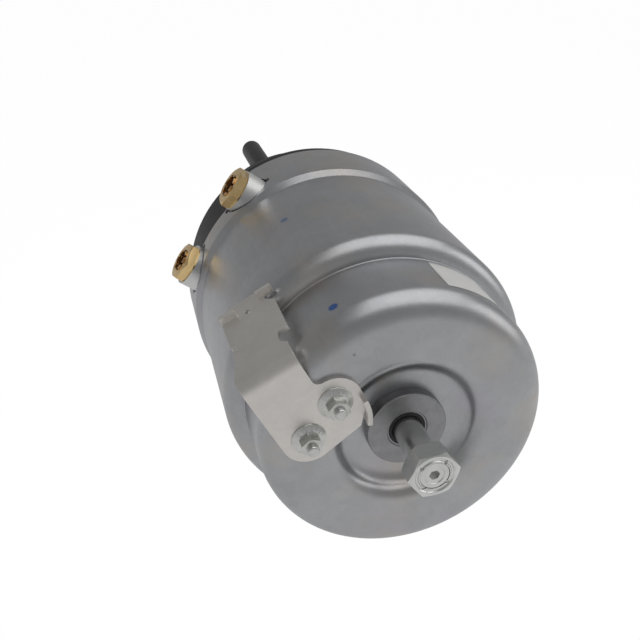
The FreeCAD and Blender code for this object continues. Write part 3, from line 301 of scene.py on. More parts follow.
def soften(piece: bpy.types.Object, width: float) -> None:
    """Round the sharp edges of a piece.

    Args:
        piece: The piece.
        width: Width of the rounding in millimetres.
    """
    bevel = piece.modifiers.new("soft_edges", "BEVEL")
    bevel.width = width * MM
    bevel.segments = BEVEL_STEPS
    bevel.limit_method = "ANGLE"
    bevel.angle_limit = math.radians(BEVEL_TURN)
    bevel.harden_normals = True
    bevel.use_clamp_overlap = True
    bake_modifiers(piece)


def carve(piece: bpy.types.Object, others: list[bpy.types.Object], carving: Carving) -> None:
    """Cut shapes out of a piece, or keep only what it shares with them.

    Args:
        piece: The piece.
        others: The shapes, which are removed afterwards.
        carving: What happens to what they share.
    """
    for other in others:
        step = piece.modifiers.new("carving", "BOOLEAN")
        step.operation = carving.value
        step.solver = "EXACT"
        step.object = other
    bake_modifiers(piece)
    for other in others:
        bpy.data.objects.remove(other)


def cut_away(piece: bpy.types.Object, cutters: list[bpy.types.Object]) -> None:
    """Cut shapes out of a piece and shade it anew.

    Args:
        piece: The piece.
        cutters: The shapes, which are removed afterwards.
    """
    carve(piece, cutters, Carving.CUT)
    shade(piece.data)


def dressed_copy(node: str, width: float) -> bpy.types.Object:
    """Copy a CAD node with its edges rounded, to stand for it.

    Args:
        node: The CAD node's name.
        width: Width of the rounding in millimetres.

    Returns:
        The copy.
    """
    work = bmesh.new()
    work.from_mesh(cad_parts[node].data)
    bmesh.ops.remove_doubles(work, verts=work.verts, dist=SAME_POINT_METRES)
    bmesh.ops.dissolve_limit(work, angle_limit=math.radians(FLAT_TURN), verts=work.verts, edges=work.edges)
    piece = as_object(node + "_piece", work, in_row=True)
    soften(piece, width)
    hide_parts(node)
    return piece


def dress(piece: bpy.types.Object, material: bpy.types.Material, body: Body | None = None) -> None:
    """Give a piece its material and body.

    Args:
        piece: The piece.
        material: Its material.
        body: The body that it rides on, or None if it is blended between two bodies.
    """
    piece.data.materials.clear()
    piece.data.materials.append(material)
    for face in piece.data.polygons:
        face.material_index = 0
    if body is not None:
        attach(piece, body.value)
    LOG.info("piece %s rides on %s", piece.name, body.value if body else "two bodies")


def dress_node(node: str, material: bpy.types.Material) -> None:
    """Give a carried-over CAD node a better material.

    Args:
        node: The node's name.
        material: The material.
    """
    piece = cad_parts[node]
    if not piece.data.materials:
        piece.data.materials.append(material)
    for number in range(len(piece.data.materials)):
        piece.data.materials[number] = material
    LOG.info("node %s is dressed with %s", node, material.name)


class Bench:
    """Adds and joins the nodes of one tree."""

    def __init__(self, tree: bpy.types.NodeTree) -> None:
        """Keep the tree."""
        self.tree = tree

    def add(self, kind: str, inputs: dict[str | int, object] | None = None,
            **settings: object) -> bpy.types.Node:
        """Add a node.

        Args:
            kind: The node's type.
            inputs: Values or sockets for its inputs, by name or number.
            **settings: The node's own settings.

        Returns:
            The node.
        """
        node = self.tree.nodes.new(kind)
        for name, value in settings.items():
            setattr(node, name, value)
        for name, value in (inputs or {}).items():
            if isinstance(value, Socket):
                self.tree.links.new(value, node.inputs[name])
            else:
                node.inputs[name].default_value = value
        return node

    def join(self, source: Socket, target: Socket) -> None:
        """Join two sockets."""
        self.tree.links.new(source, target)

    def math(self, operation: str, first: object, second: object = 0.0) -> Socket:
        """Add a Math node."""
        return self.add("ShaderNodeMath", {0: first, 1: second}, operation=operation).outputs[0]

    def noise(self, vector: object, scale: object, detail: float = 3.0, rough: float = 0.55) -> Socket:
        """Add a Noise Texture."""
        values = {"Vector": vector, "Scale": scale, "Detail": detail, "Roughness": rough}
        return self.add("ShaderNodeTexNoise", values).outputs["Fac"]

    def ramp(self, value: object, low: object, high: object, first: object = 0.0,
             last: object = 1.0) -> Socket:
        """Add a clamped Map Range."""
        values = {"Value": value, "From Min": low, "From Max": high, "To Min": first, "To Max": last}
        return self.add("ShaderNodeMapRange", values, clamp=True).outputs["Result"]

    def mix(self, share: object, first: object, second: object, blend: str = "MIX") -> Socket:
        """Add a colour Mix.

        Args:
            share: Share of the second colour.
            first: The first colour.
            second: The second colour.
            blend: The blend type.

        Returns:
            The colour.
        """
        node = self.add("ShaderNodeMix", data_type="RGBA", blend_type=blend)
        colours = [socket for socket in node.inputs if socket.type == "RGBA"]
        for socket, value in ((node.inputs["Factor"], share), (colours[0], first), (colours[1], second)):
            if isinstance(value, Socket):
                self.join(value, socket)
            elif isinstance(value, tuple):
                socket.default_value = (*value, 1.0)
            else:
                socket.default_value = value
        return [socket for socket in node.outputs if socket.type == "RGBA"][0]

    def grey(self, level: Socket) -> Socket:
        """Turn a level into a grey."""
        return self.add("ShaderNodeCombineColor", {0: level, 1: level, 2: level}).outputs["Color"]

    def darken(self, colour: Socket, mask: Socket, depth: float) -> Socket:
        """Darken a colour where a mask is low, by the depth where it is 0."""
        level = self.ramp(mask, 0.0, 1.0, 1.0 - depth, 1.0)
        return self.mix(1.0, colour, self.grey(level), "MULTIPLY")


class Effects:
    """Shader node groups that several materials share."""

    def __init__(self) -> None:
        """Build the groups once."""
        self.mottle = self._mottle()
        self.streaks = self._streaks()
        self.wear = self._wear()

    @staticmethod
    def _group(name: str, inputs: list[tuple[str, str, object]], outputs: list[tuple[str, str]]) -> Bench:
        """Start a group.

        Args:
            name: The group's name.
            inputs: Name, socket type and default of each input.
            outputs: Name and socket type of each output.

        Returns:
            A bench for the group's tree.
        """
        tree = bpy.data.node_groups.new(name, "ShaderNodeTree")
        for label, kind, value in inputs:
            socket = tree.interface.new_socket(label, in_out="INPUT", socket_type=kind)
            if value is not None:
                socket.default_value = value
        for label, kind in outputs:
            tree.interface.new_socket(label, in_out="OUTPUT", socket_type=kind)
        return Bench(tree)

    def _mottle(self) -> bpy.types.NodeTree:
        """Soft blotches, fine grain and zinc crystals, which are about a seventh of a blotch.

        Returns:
            The group's tree.
        """
        bench = self._group(
            "mottle",
            [("Vector", "NodeSocketVector", None), ("Blotch Size", "NodeSocketFloat", 0.02),
             ("Grain Size", "NodeSocketFloat", 0.001)],
            [("Blotch", "NodeSocketFloat"), ("Grain", "NodeSocketFloat"), ("Crystal", "NodeSocketFloat")])
        source = bench.add("NodeGroupInput").outputs
        blotch_scale = bench.math("DIVIDE", 1.0, source["Blotch Size"])
        grain_scale = bench.math("DIVIDE", 1.0, source["Grain Size"])
        crystal_scale = bench.math("DIVIDE", blotch_scale, 0.14)
        blotch = bench.add("ShaderNodeTexNoise", {
            "Vector": source["Vector"], "Scale": blotch_scale, "Detail": 4.0, "Distortion": 0.6})
        grain = bench.add("ShaderNodeTexNoise", {
            "Vector": source["Vector"], "Scale": grain_scale, "Detail": 2.0})
        crystal = bench.add("ShaderNodeTexVoronoi", {
            "Vector": source["Vector"], "Scale": crystal_scale, "Randomness": 1.0})
        value = bench.add("ShaderNodeSeparateColor", {"Color": crystal.outputs["Color"]})
        target = bench.add("NodeGroupOutput").inputs
        bench.join(bench.ramp(blotch.outputs["Fac"], *NOISE_SPAN), target["Blotch"])
        bench.join(grain.outputs["Fac"], target["Grain"])
        bench.join(value.outputs[0], target["Crystal"])
        return bench.tree

    def _streaks(self) -> bpy.types.NodeTree:
        """Fine lines along the chamber's axis, as drawing a can leaves them.

        Returns:
            The group's tree.
        """
        bench = self._group(
            "streaks",
            [("Vector", "NodeSocketVector", None), ("Width", "NodeSocketFloat", 0.0012)],
            [("Line", "NodeSocketFloat")])
        source = bench.add("NodeGroupInput").outputs
        squeezed = bench.add("ShaderNodeMapping", {"Vector": source["Vector"], "Scale": (1.0, 0.035, 1.0)})
        scale = bench.math("DIVIDE", 1.0, source["Width"])
        lines = bench.noise(squeezed.outputs["Vector"], scale, 3.0, 0.7)
        target = bench.add("NodeGroupOutput").inputs
        bench.join(bench.ramp(lines, 0.35, 0.65), target["Line"])
        return bench.tree

    def _wear(self) -> bpy.types.NodeTree:
        """Where an edge is rubbed bright, broken up by noise.

        Returns:
            The group's tree.
        """
        bench = self._group(
            "edge_wear",
            [("Vector", "NodeSocketVector", None), ("Radius", "NodeSocketFloat", 0.0006)],
            [("Mask", "NodeSocketFloat")])
        source = bench.add("NodeGroupInput").outputs
        round_normal = bench.add("ShaderNodeBevel", {"Radius": source["Radius"]}, samples=4)
        geometry = bench.add("ShaderNodeNewGeometry")
        flat = bench.add("ShaderNodeVectorMath", {
            0: round_normal.outputs["Normal"], 1: geometry.outputs["Normal"]}, operation="DOT_PRODUCT")
        edge = bench.ramp(flat.outputs["Value"], 0.97, 0.8)
        broken = bench.ramp(bench.noise(source["Vector"], 420.0, 4.0), 0.35, 0.6)
        target = bench.add("NodeGroupOutput").inputs
        bench.join(bench.math("MULTIPLY", edge, broken), target["Mask"])
        return bench.tree


class Skin:
    """A new material with its shader, its coordinates and its mottling."""

    def __init__(self, name: str, effects: Effects, grain: float) -> None:
        """Start the material.

        Args:
            name: Its name.
            effects: The shared shader groups.
            grain: Size of its grain in metres.
        """
        self.material = bpy.data.materials.new(name)
        self.material.use_nodes = True
        self.bench = Bench(self.material.node_tree)
        self.shader = self.material.node_tree.nodes["Principled BSDF"]
        self.vector = self.bench.add("ShaderNodeTexCoord").outputs["Object"]
        self.mottle = self.group(effects.mottle)
        self.mottle.inputs["Grain Size"].default_value = grain

    def group(self, tree: bpy.types.NodeTree) -> bpy.types.Node:
        """Place a shared group on the material's coordinates.

        Args:
            tree: The group's tree.

        Returns:
            The group's node.
        """
        node = self.bench.add("ShaderNodeGroup", node_tree=tree)
        self.bench.join(self.vector, node.inputs["Vector"])
        return node

    def close(self, colour: Socket, rough: Socket, height: Socket, bump: float, depth: float,
              specular: float) -> bpy.types.Material:
        """Join what was made to the shader.

        Args:
            colour: Its base colour.
            rough: Its roughness.
            height: Its relief.
            bump: Strength of the relief.
            depth: Depth of the relief in metres.
            specular: Its specular level.

        Returns:
            The material.
        """
        relief = self.bench.add("ShaderNodeBump", {"Strength": bump, "Distance": depth, "Height": height})
        self.bench.join(colour, self.shader.inputs["Base Color"])
        self.bench.join(rough, self.shader.inputs["Roughness"])
        self.bench.join(relief.outputs["Normal"], self.shader.inputs["Normal"])
        self.shader.inputs["Specular IOR Level"].default_value = specular
        return self.material


@dataclass(frozen=True)
class MetalFinish:
    """A metal surface with blotches, grain, streaks and rubbed edges."""

    name: str
    colour: Colour
    second: Colour
    roughness: float
    spread: float = 0.06
    blotch: float = 0.02
    grain: float = 0.0012
    crystals: float = 0.0
    streaks: float = 0.0
    bump: float = 0.05
    wear: float = 0.0
    metallic: float = 1.0
    specular: float = 0.5
    depth: float = 0.0004

    def build(self, effects: Effects) -> bpy.types.Material:
        """Make the material.

        Args:
            effects: The shared shader groups.

        Returns:
            The material.
        """
        skin = Skin(self.name, effects, self.grain)
        bench, mottle = skin.bench, skin.mottle
        mottle.inputs["Blotch Size"].default_value = self.blotch
        colour = bench.mix(mottle.outputs["Blotch"], self.colour, self.second)
        rough = bench.ramp(mottle.outputs["Grain"], *NOISE_SPAN, self.roughness - self.spread,
                           self.roughness + self.spread)
        height = bench.math("MULTIPLY", mottle.outputs["Grain"], 0.5)
        if self.crystals > 0:
            colour = bench.darken(colour, mottle.outputs["Crystal"], self.crystals)
        if self.streaks > 0:
            line = skin.group(effects.streaks).outputs["Line"]
            colour = bench.darken(colour, line, self.streaks)
            height = bench.math("ADD", height, bench.math("MULTIPLY", line, 0.3))
        if self.wear > 0:
            share = bench.math("MULTIPLY", skin.group(effects.wear).outputs["Mask"], self.wear)
            bright = tuple(min(1.0, part * 1.35 + 0.04) for part in self.colour)
            colour = bench.mix(share, colour, bright)
        colour, rough = self.marks(bench, skin.vector, colour, rough)
        skin.shader.inputs["Metallic"].default_value = self.metallic
        return skin.close(colour, rough, height, self.bump, self.depth, self.specular)

    def marks(self, bench: Bench, vector: Socket, colour: Socket, rough: Socket) -> tuple[Socket, Socket]:
        """Add marks of the finish's own; a plain metal has none."""
        return colour, rough


@dataclass(frozen=True)
class Spot:
    """A flat dot of colour, for marker ink or the painted shade in a small dent, in chamber coordinates."""

    radius: float
    angle: float
    level: float
    size: float
    colour: Colour
    strength: float = 0.9

    def centre(self) -> Vector:
        """The spot's place in the row frame."""
        return TO_ROW @ polar(self.radius, self.angle, self.level)


@dataclass(frozen=True)
class CanFinish(MetalFinish):
    """The galvanised can, with faint tints, inked dots and dots of painted shade for its small dents."""

    spots: tuple[Spot, ...] = ()

    def marks(self, bench: Bench, vector: Socket, colour: Socket, rough: Socket) -> tuple[Socket, Socket]:
        """Add faint warm and violet tints, smudges, the ink dots and the dots of painted dent shade.

        Args:
            bench: The material's bench.
            vector: Object coordinates.
            colour: The colour so far.
            rough: The roughness so far.

        Returns:
            The new colour and roughness.
        """
        warm = bench.ramp(bench.noise(vector, 19.0, 3.0), 0.5, 0.72, 0.0, 0.55)
        colour = bench.mix(warm, colour, WARM_TINT)
        violet = bench.ramp(bench.noise(vector, 27.0, 2.0, 0.4), 0.55, 0.74, 0.0, 0.35)
        colour = bench.mix(violet, colour, VIOLET_TINT)
        smudge = bench.ramp(bench.noise(vector, 48.0, 5.0, 0.65), 0.56, 0.75, 0.0, 0.07)
        rough = bench.math("ADD", rough, smudge)
        wobble = bench.noise(vector, 900.0, 2.0)
        # Each spot paints marker ink, or the painted shade of a small dent
        for spot in self.spots:
            centre = {0: vector, 1: tuple(spot.centre())}
            away = bench.add("ShaderNodeVectorMath", centre, operation="DISTANCE").outputs["Value"]
            edge = bench.math("ADD", away, bench.math("MULTIPLY", wobble, spot.size * 0.35 * MM))
            inside = bench.ramp(edge, spot.size * 0.9 * MM, spot.size * 1.25 * MM, spot.strength, 0.0)
            colour = bench.mix(inside, colour, spot.colour)
        return colour, rough


@dataclass(frozen=True)
class CoatFinish:
    """Paint, plastic or rubber: a dielectric with a fine skin."""

    name: str
    colour: Colour
    second: Colour
    roughness: float
    grain: float = 0.0008
    bump: float = 0.1
    dust: float = 0.15
    specular: float = 0.5
    depth: float = 0.0003

    def build(self, effects: Effects) -> bpy.types.Material:
        """Make the material.

        Args:
            effects: The shared shader groups.

        Returns:
            The material.
        """
        skin = Skin(self.name, effects, self.grain)
        bench, grain = skin.bench, skin.mottle.outputs["Grain"]
        colour = bench.mix(skin.mottle.outputs["Blotch"], self.colour, self.second)
        specks = bench.ramp(bench.noise(skin.vector, 350.0, 5.0, 0.7), 0.58, 0.72, 0.0, self.dust)
        colour = bench.mix(specks, colour, GREY_DUST)
        rough = bench.ramp(grain, *NOISE_SPAN, self.roughness - 0.05, self.roughness + 0.08)
        return skin.close(colour, rough, grain, self.bump, self.depth, self.specular)


GREY_DUST: Colour = (0.35, 0.34, 0.32)
WARM_TINT: Colour = (0.60, 0.53, 0.46)
VIOLET_TINT: Colour = (0.50, 0.47, 0.56)
BLUE_INK: Colour = (0.05, 0.16, 0.5)
DULL_INK: Colour = (0.09, 0.2, 0.42)
# Painted shade: dark dots stand for the shade in small dents, which have no relief
DENT_SHADE: Colour = (0.16, 0.15, 0.15)
CAN_SPOTS = (
    Spot(79.0, 118.0, 290.8, 2.9, BLUE_INK),
    Spot(89.7, 117.2, 194.8, 2.8, DULL_INK, 0.6),
    Spot(92.5, 100.2, 119.0, 0.7, DENT_SHADE, 0.5),
    Spot(92.5, 92.7, 144.5, 0.7, DENT_SHADE, 0.5),
    Spot(60.9, 121.0, 309.4, 0.9, DENT_SHADE, 0.5),
)

FINISHES: dict[str, MetalFinish | CoatFinish] = {
    "can": CanFinish("galvanised_can", (0.53, 0.54, 0.555), (0.47, 0.475, 0.49), 0.34, spread=0.05,
                     blotch=0.035, grain=0.0011, crystals=0.05, streaks=0.05, bump=0.02, wear=0.15,
                     spots=CAN_SPOTS),
    "disc": MetalFinish("grey_zinc_disc", (0.36, 0.36, 0.37), (0.30, 0.30, 0.31), 0.4, blotch=0.006,
                        grain=0.0008, bump=0.03, wear=0.15),
    "shank": MetalFinish("bright_zinc", (0.80, 0.80, 0.78), (0.70, 0.71, 0.70), 0.24, spread=0.015,
                         blotch=0.008, bump=0.0),
    "fastener": MetalFinish("zinc_fastener", (0.74, 0.745, 0.72), (0.62, 0.63, 0.60), 0.28, spread=0.015,
                            blotch=0.004, grain=0.0008, bump=0.0),
    "bracket": MetalFinish("satin_sheet", (0.83, 0.80, 0.76), (0.76, 0.73, 0.70), 0.36, blotch=0.016,
                           grain=0.0007, crystals=0.03, bump=0.03, wear=0.2),
    "die_cast": MetalFinish("die_cast", (0.80, 0.80, 0.79), (0.74, 0.74, 0.73), 0.42, blotch=0.01,
                            grain=0.0009, bump=0.12, wear=0.2),
    "brass": MetalFinish("turned_brass", (0.86, 0.64, 0.33), (0.76, 0.54, 0.25), 0.24, spread=0.015,
                         blotch=0.006, grain=0.0006, bump=0.02),
    "collet": MetalFinish("dark_collet", (0.66, 0.42, 0.20), (0.44, 0.26, 0.12), 0.3, blotch=0.003,
                          grain=0.0005, bump=0.04, wear=0.2),
    "tube": MetalFinish("ground_steel", (0.60, 0.60, 0.61), (0.55, 0.55, 0.56), 0.25, spread=0.015,
                        streaks=0.06, bump=0.0),
    "piston": MetalFinish("cast_piston", (0.50, 0.50, 0.50), (0.43, 0.43, 0.43), 0.5, bump=0.3),
    "spring": MetalFinish("spring_steel", (0.075, 0.075, 0.08), (0.05, 0.05, 0.055), 0.45, metallic=0.0,
                          bump=0.15, wear=0.4),
    "black_stud": MetalFinish("black_stud", (0.018, 0.018, 0.019), (0.013, 0.013, 0.014), 0.38,
                              grain=0.0006, bump=0.08, wear=0.25, metallic=0.0, specular=0.22),
    "black_paint": CoatFinish("black_housing", (0.014, 0.014, 0.015), (0.010, 0.010, 0.011), 0.42,
                              bump=0.08, dust=0.04, specular=0.22),
    "rubber": CoatFinish("rubber", (0.02, 0.02, 0.02), (0.028, 0.027, 0.026), 0.62, bump=0.12, dust=0.2),
    "guide": CoatFinish("guide_plastic", (0.62, 0.58, 0.48), (0.55, 0.51, 0.42), 0.5),
    "label": CoatFinish("label_film", (0.78, 0.775, 0.76), (0.72, 0.715, 0.70), 0.35, bump=0.03, dust=0.06),
}


@dataclass
class SpringHousing:
    """The galvanised can, by its outer radii and its levels along the axis."""

    edge: float = 101.5
    rim: float = 92.5
    mid: float = 89.7
    near: float = 79.0
    wall: float = 2.4
    end: float = 309.4
    ridge_low: float = 146.0
    ridge_high: float = 152.0
    shoulder: float = 261.3
    recess_rim: float = 40.5
    recess_foot: float = 35.5
    recess: float = 10.0
    recess_shift: float = 1.1
    hole: float = 13.0
    steps: int = 240
    window: float = 15.0
    window_steps: int = 20
    lower_steps: int = 5
    lower_step: float = 10.0
    notch: float = 2.2
    overlap: float = 0.1
    overrun: float = 6.0
    bridge_top: float = -3.5
    bridge_foot: float = -36.0
    cut_from: float = 40.0
    cut_to: float = 110.0

    def outline(self) -> list[Corner]:
        """The can's section.

        Returns:
            Its corners as (radius, level, rounding).
        """
        rim, mid, near, wall, end = self.rim, self.mid, self.near, self.wall, self.end
        inner_rim, inner_mid, inner_near = rim - wall, mid - wall, near - wall
        floor, inside = end - self.recess, self.shoulder - wall
        # The extra points on straight runs split the long walls into shorter faces
        return [
            (rim, self.edge, 0.5), (rim, 128.0, 0.0), (rim, self.ridge_low, 2.5),
            (mid, self.ridge_high, 2.5), (mid, 175.0, 0.0), (mid, 200.0, 0.0), (mid, 225.0, 0.0),
            (mid, self.shoulder, 10.6),
            (near, self.shoulder, 0.7), (near, 280.0, 0.0), (near, end, 13.5), (54.0, end, 0.0),
            (self.recess_rim, end, 9.0), (self.recess_foot, floor, 9.0), (22.5, floor, 0.0),
            (self.hole, floor, 0.3), (self.hole, floor - wall, 0.0),
            (self.recess_foot + self.recess_shift, floor - wall, 7.0),
            (self.recess_rim + self.recess_shift, end - wall, 7.0), (inner_near, end - wall, 10.0),
            (inner_near, inside, 0.0), (inner_mid, inside, 8.2), (inner_mid, self.ridge_high, 0.0),
            (inner_rim, self.ridge_low, 0.0), (inner_rim, self.edge, 0.3),
        ]

    def slot_cutter(self, side: float) -> bpy.types.Object:
        """The shape of one slot, open towards the can's edge.

        Args:
            side: 1 or -1 for the two ports.

        Returns:
            The cutter.
        """
        radius, notch = self.window, self.notch
        join = notch + self.overlap
        foot = PORT_LEVEL - self.edge + self.overrun
        corners: list[Corner] = [
            (-radius, -foot, 0.0), (-radius, -notch, 0.4), (-radius - notch, -notch, 1.2),
            (-radius - notch, notch, 1.2), (-radius + self.overlap, join, 0.0)]
        for number in range(1, self.window_steps):
            turn = math.radians(180.0 - 180.0 / self.window_steps * number)
            corners.append((radius * math.cos(turn), radius * math.sin(turn), 0.0))
        corners += [(radius - self.overlap, join, 0.0), (radius + notch, notch, 1.2),
                    (radius + notch, -notch, 1.2), (radius - self.overlap, -join, 0.0)]
        for number in range(1, self.lower_steps + 1):
            turn = math.radians(self.lower_step * number)
            corners.append((radius * math.cos(turn), -radius * math.sin(turn), 0.0))
        corners.append((corners[-1][0], -foot, 0.0))
        if side < 0:
            corners = [(-across, along, bend) for across, along, bend in reversed(corners)]
        return self._outward(rounded(corners), side * PORT_SPACING)

    def _outward(self, points: list[tuple[float, float]], across: float) -> bpy.types.Object:
        """Extrude an outline of (across, along the axis) outward through the wall at the ports."""
        return as_object("wall_cutter", prism(points, self.cut_from, self.cut_to), port_axes(across))

    def build(self, looks: Looks) -> None:
        """Build and dress the can.

        Args:
            looks: The materials by finish.
        """
        can = as_object("spring_can", lathe(rounded(self.outline(), 7.5), self.steps))
        bridge = [(-PORT_SPACING, self.bridge_foot), (PORT_SPACING, self.bridge_foot),
                  (PORT_SPACING, self.bridge_top), (-PORT_SPACING, self.bridge_top)]
        cut_away(can, [self.slot_cutter(1.0), self.slot_cutter(-1.0), self._outward(bridge, 0.0)])
        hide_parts("spring_housing")
        dress(can, looks["can"], Body.HOUSING)


@dataclass
class ReleaseDisc:
    """The disc in the can's recess with its tube, and the seal between it and the bolt."""

    bore: float = 7.85
    tube: float = 12.9
    tube_low: float = 272.0
    radius: float = 21.9
    low: float = 299.4
    top: float = 306.0
    seat: float = 10.2
    seat_low: float = 303.0
    seal_gap: float = 0.01
    seal_play: float = 0.05
    seal_lift: float = 0.1

    def build(self, looks: Looks) -> None:
        """Build and dress the disc and its seal.

        Args:
            looks: The materials by finish.
        """
        bore, seat, low, top = self.bore, self.seat, self.seat_low, self.top
        disc = as_object("release_disc", lathe(rounded([
            (bore, self.tube_low, 0.0), (self.tube, self.tube_low, 0.3), (self.tube, self.low, 0.0),
            (self.radius, self.low, 0.2), (self.radius, top, 0.8), (seat + 1.2, top, 0.2),
            (seat + 0.7, top - 0.8, 0.2), (seat, top - 0.8, 0.0), (seat, low, 0.0), (bore, low, 0.0)]), 96))
        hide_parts("bolt_bush")
        dress(disc, looks["disc"], Body.HOUSING)
        inner, outer, foot = bore + self.seal_gap, seat - self.seal_play, low + self.seal_lift
        seal = as_object("release_seal", lathe(rounded([
            (inner, foot, 0.0), (outer, foot, 0.2), (outer, top - 0.6, 0.7), (8.4, top - 0.5, 0.3),
            (inner, top - 1.2, 0.2)]), 64))
        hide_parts("bolt_seal")
        dress(seal, looks["rubber"], Body.HOUSING)


@dataclass
class BlankLabel:
    """The blank sticker, a thin skin on the can's near section."""

    radius: float = 79.06
    first_turn: float = 50.0
    turn: float = 24.0
    low: float = 264.5
    height: float = 29.5
    film: float = 0.2
    columns: int = 24
    rows: int = 10

    def build(self, looks: Looks) -> None:
        """Build and dress the sticker.

        Args:
            looks: The materials by finish.
        """
        work = bmesh.new()
        levels = [self.low + self.height * row / self.rows for row in range(self.rows + 1)]
        grid = []
        for column in range(self.columns + 1):
            angle = self.first_turn + self.turn * column / self.columns
            grid.append([work.verts.new(polar(self.radius, angle, level)) for level in levels])
        for left, right in zip(grid, grid[1:]):
            for row in range(self.rows):
                work.faces.new((left[row], right[row], right[row + 1], left[row + 1]))
        label = as_object("blank_label", work)
        shell = label.modifiers.new("film", "SOLIDIFY")
        shell.thickness = self.film * MM
        shell.offset = 1.0
        bake_modifiers(label)
        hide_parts("label")
        dress(label, looks["label"], Body.HOUSING)


class CoilMaker:
    """Makes coil springs with Geometry Nodes."""

    def __init__(self) -> None:
        """Build the tree once."""
        self.tree = self._build_tree()

    def _build_tree(self) -> bpy.types.NodeTree:
        """A wire wound round Z between two levels, flat for a while at both ends.

        Returns:
            The Geometry Nodes tree.
        """
        tree = bpy.data.node_groups.new("wound_wire", "GeometryNodeTree")
        for label, kind, value in (
                ("Turns", "NodeSocketFloat", 5.0), ("Start Radius", "NodeSocketFloat", 0.05),
                ("End Radius", "NodeSocketFloat", 0.05), ("Wire", "NodeSocketFloat", 0.005),
                ("Low", "NodeSocketFloat", 0.0), ("High", "NodeSocketFloat", 0.1),
                ("Flat Share", "NodeSocketFloat", 0.1), ("Steps", "NodeSocketInt", 64),
                ("Round Steps", "NodeSocketInt", 12), ("Finish", "NodeSocketMaterial", None)):
            socket = tree.interface.new_socket(label, in_out="INPUT", socket_type=kind)
            if value is not None:
                socket.default_value = value
        tree.interface.new_socket("Geometry", in_out="OUTPUT", socket_type="NodeSocketGeometry")
        bench = Bench(tree)
        source = bench.add("NodeGroupInput").outputs
        spiral = bench.add("GeometryNodeCurveSpiral", {
            "Resolution": source["Steps"], "Rotations": source["Turns"],
            "Start Radius": source["Start Radius"], "End Radius": source["End Radius"], "Height": 0.0})
        along = bench.add("GeometryNodeSplineParameter").outputs["Factor"]
        last = bench.math("SUBTRACT", 1.0, source["Flat Share"])
        rise = bench.ramp(along, source["Flat Share"], last, source["Low"], source["High"])
        lift = bench.add("ShaderNodeCombineXYZ", {"Z": rise})
        raised = bench.add("GeometryNodeSetPosition", {"Geometry": spiral.outputs["Curve"],
                                                       "Offset": lift.outputs["Vector"]})
        half = bench.math("MULTIPLY", source["Wire"], 0.5)
        section = bench.add("GeometryNodeCurvePrimitiveCircle", {
            "Resolution": source["Round Steps"], "Radius": half})
        tube = bench.add("GeometryNodeCurveToMesh", {
            "Curve": raised.outputs["Geometry"], "Profile Curve": section.outputs["Curve"],
            "Fill Caps": True})
        real = bench.add("GeometryNodeRealizeInstances", {"Geometry": tube.outputs["Mesh"]})
        smooth = bench.add("GeometryNodeSetShadeSmooth", {"Geometry": real.outputs["Geometry"]})
        finish = bench.add("GeometryNodeSetMaterial", {"Geometry": smooth.outputs["Geometry"],
                                                       "Material": source["Finish"]})
        target = bench.add("NodeGroupOutput")
        bench.join(finish.outputs["Geometry"], target.inputs["Geometry"])
        return tree

    def wind(self, name: str, values: dict[str, object]) -> bpy.types.Object:
        """Wind one wire.

        Args:
            name: The piece's name.
            values: The tree's inputs, with its lengths in metres.

        Returns:
            The wound piece as a plain mesh in the row frame.
        """
        piece = in_scene(name, bpy.data.meshes.new(name))
        modifier = piece.modifiers.new("wound_wire", "NODES")
        modifier.node_group = self.tree
        names = {item.name: item.identifier for item in self.tree.interface.items_tree
                 if item.item_type == "SOCKET" and item.in_out == "INPUT"}
        for label, value in values.items():
            modifier[names[label]] = value
        bake_modifiers(piece)
        piece.data.transform(TO_ROW @ Matrix.Scale(1.0 / MM, 4))
        piece.data.shade_smooth()
        return piece


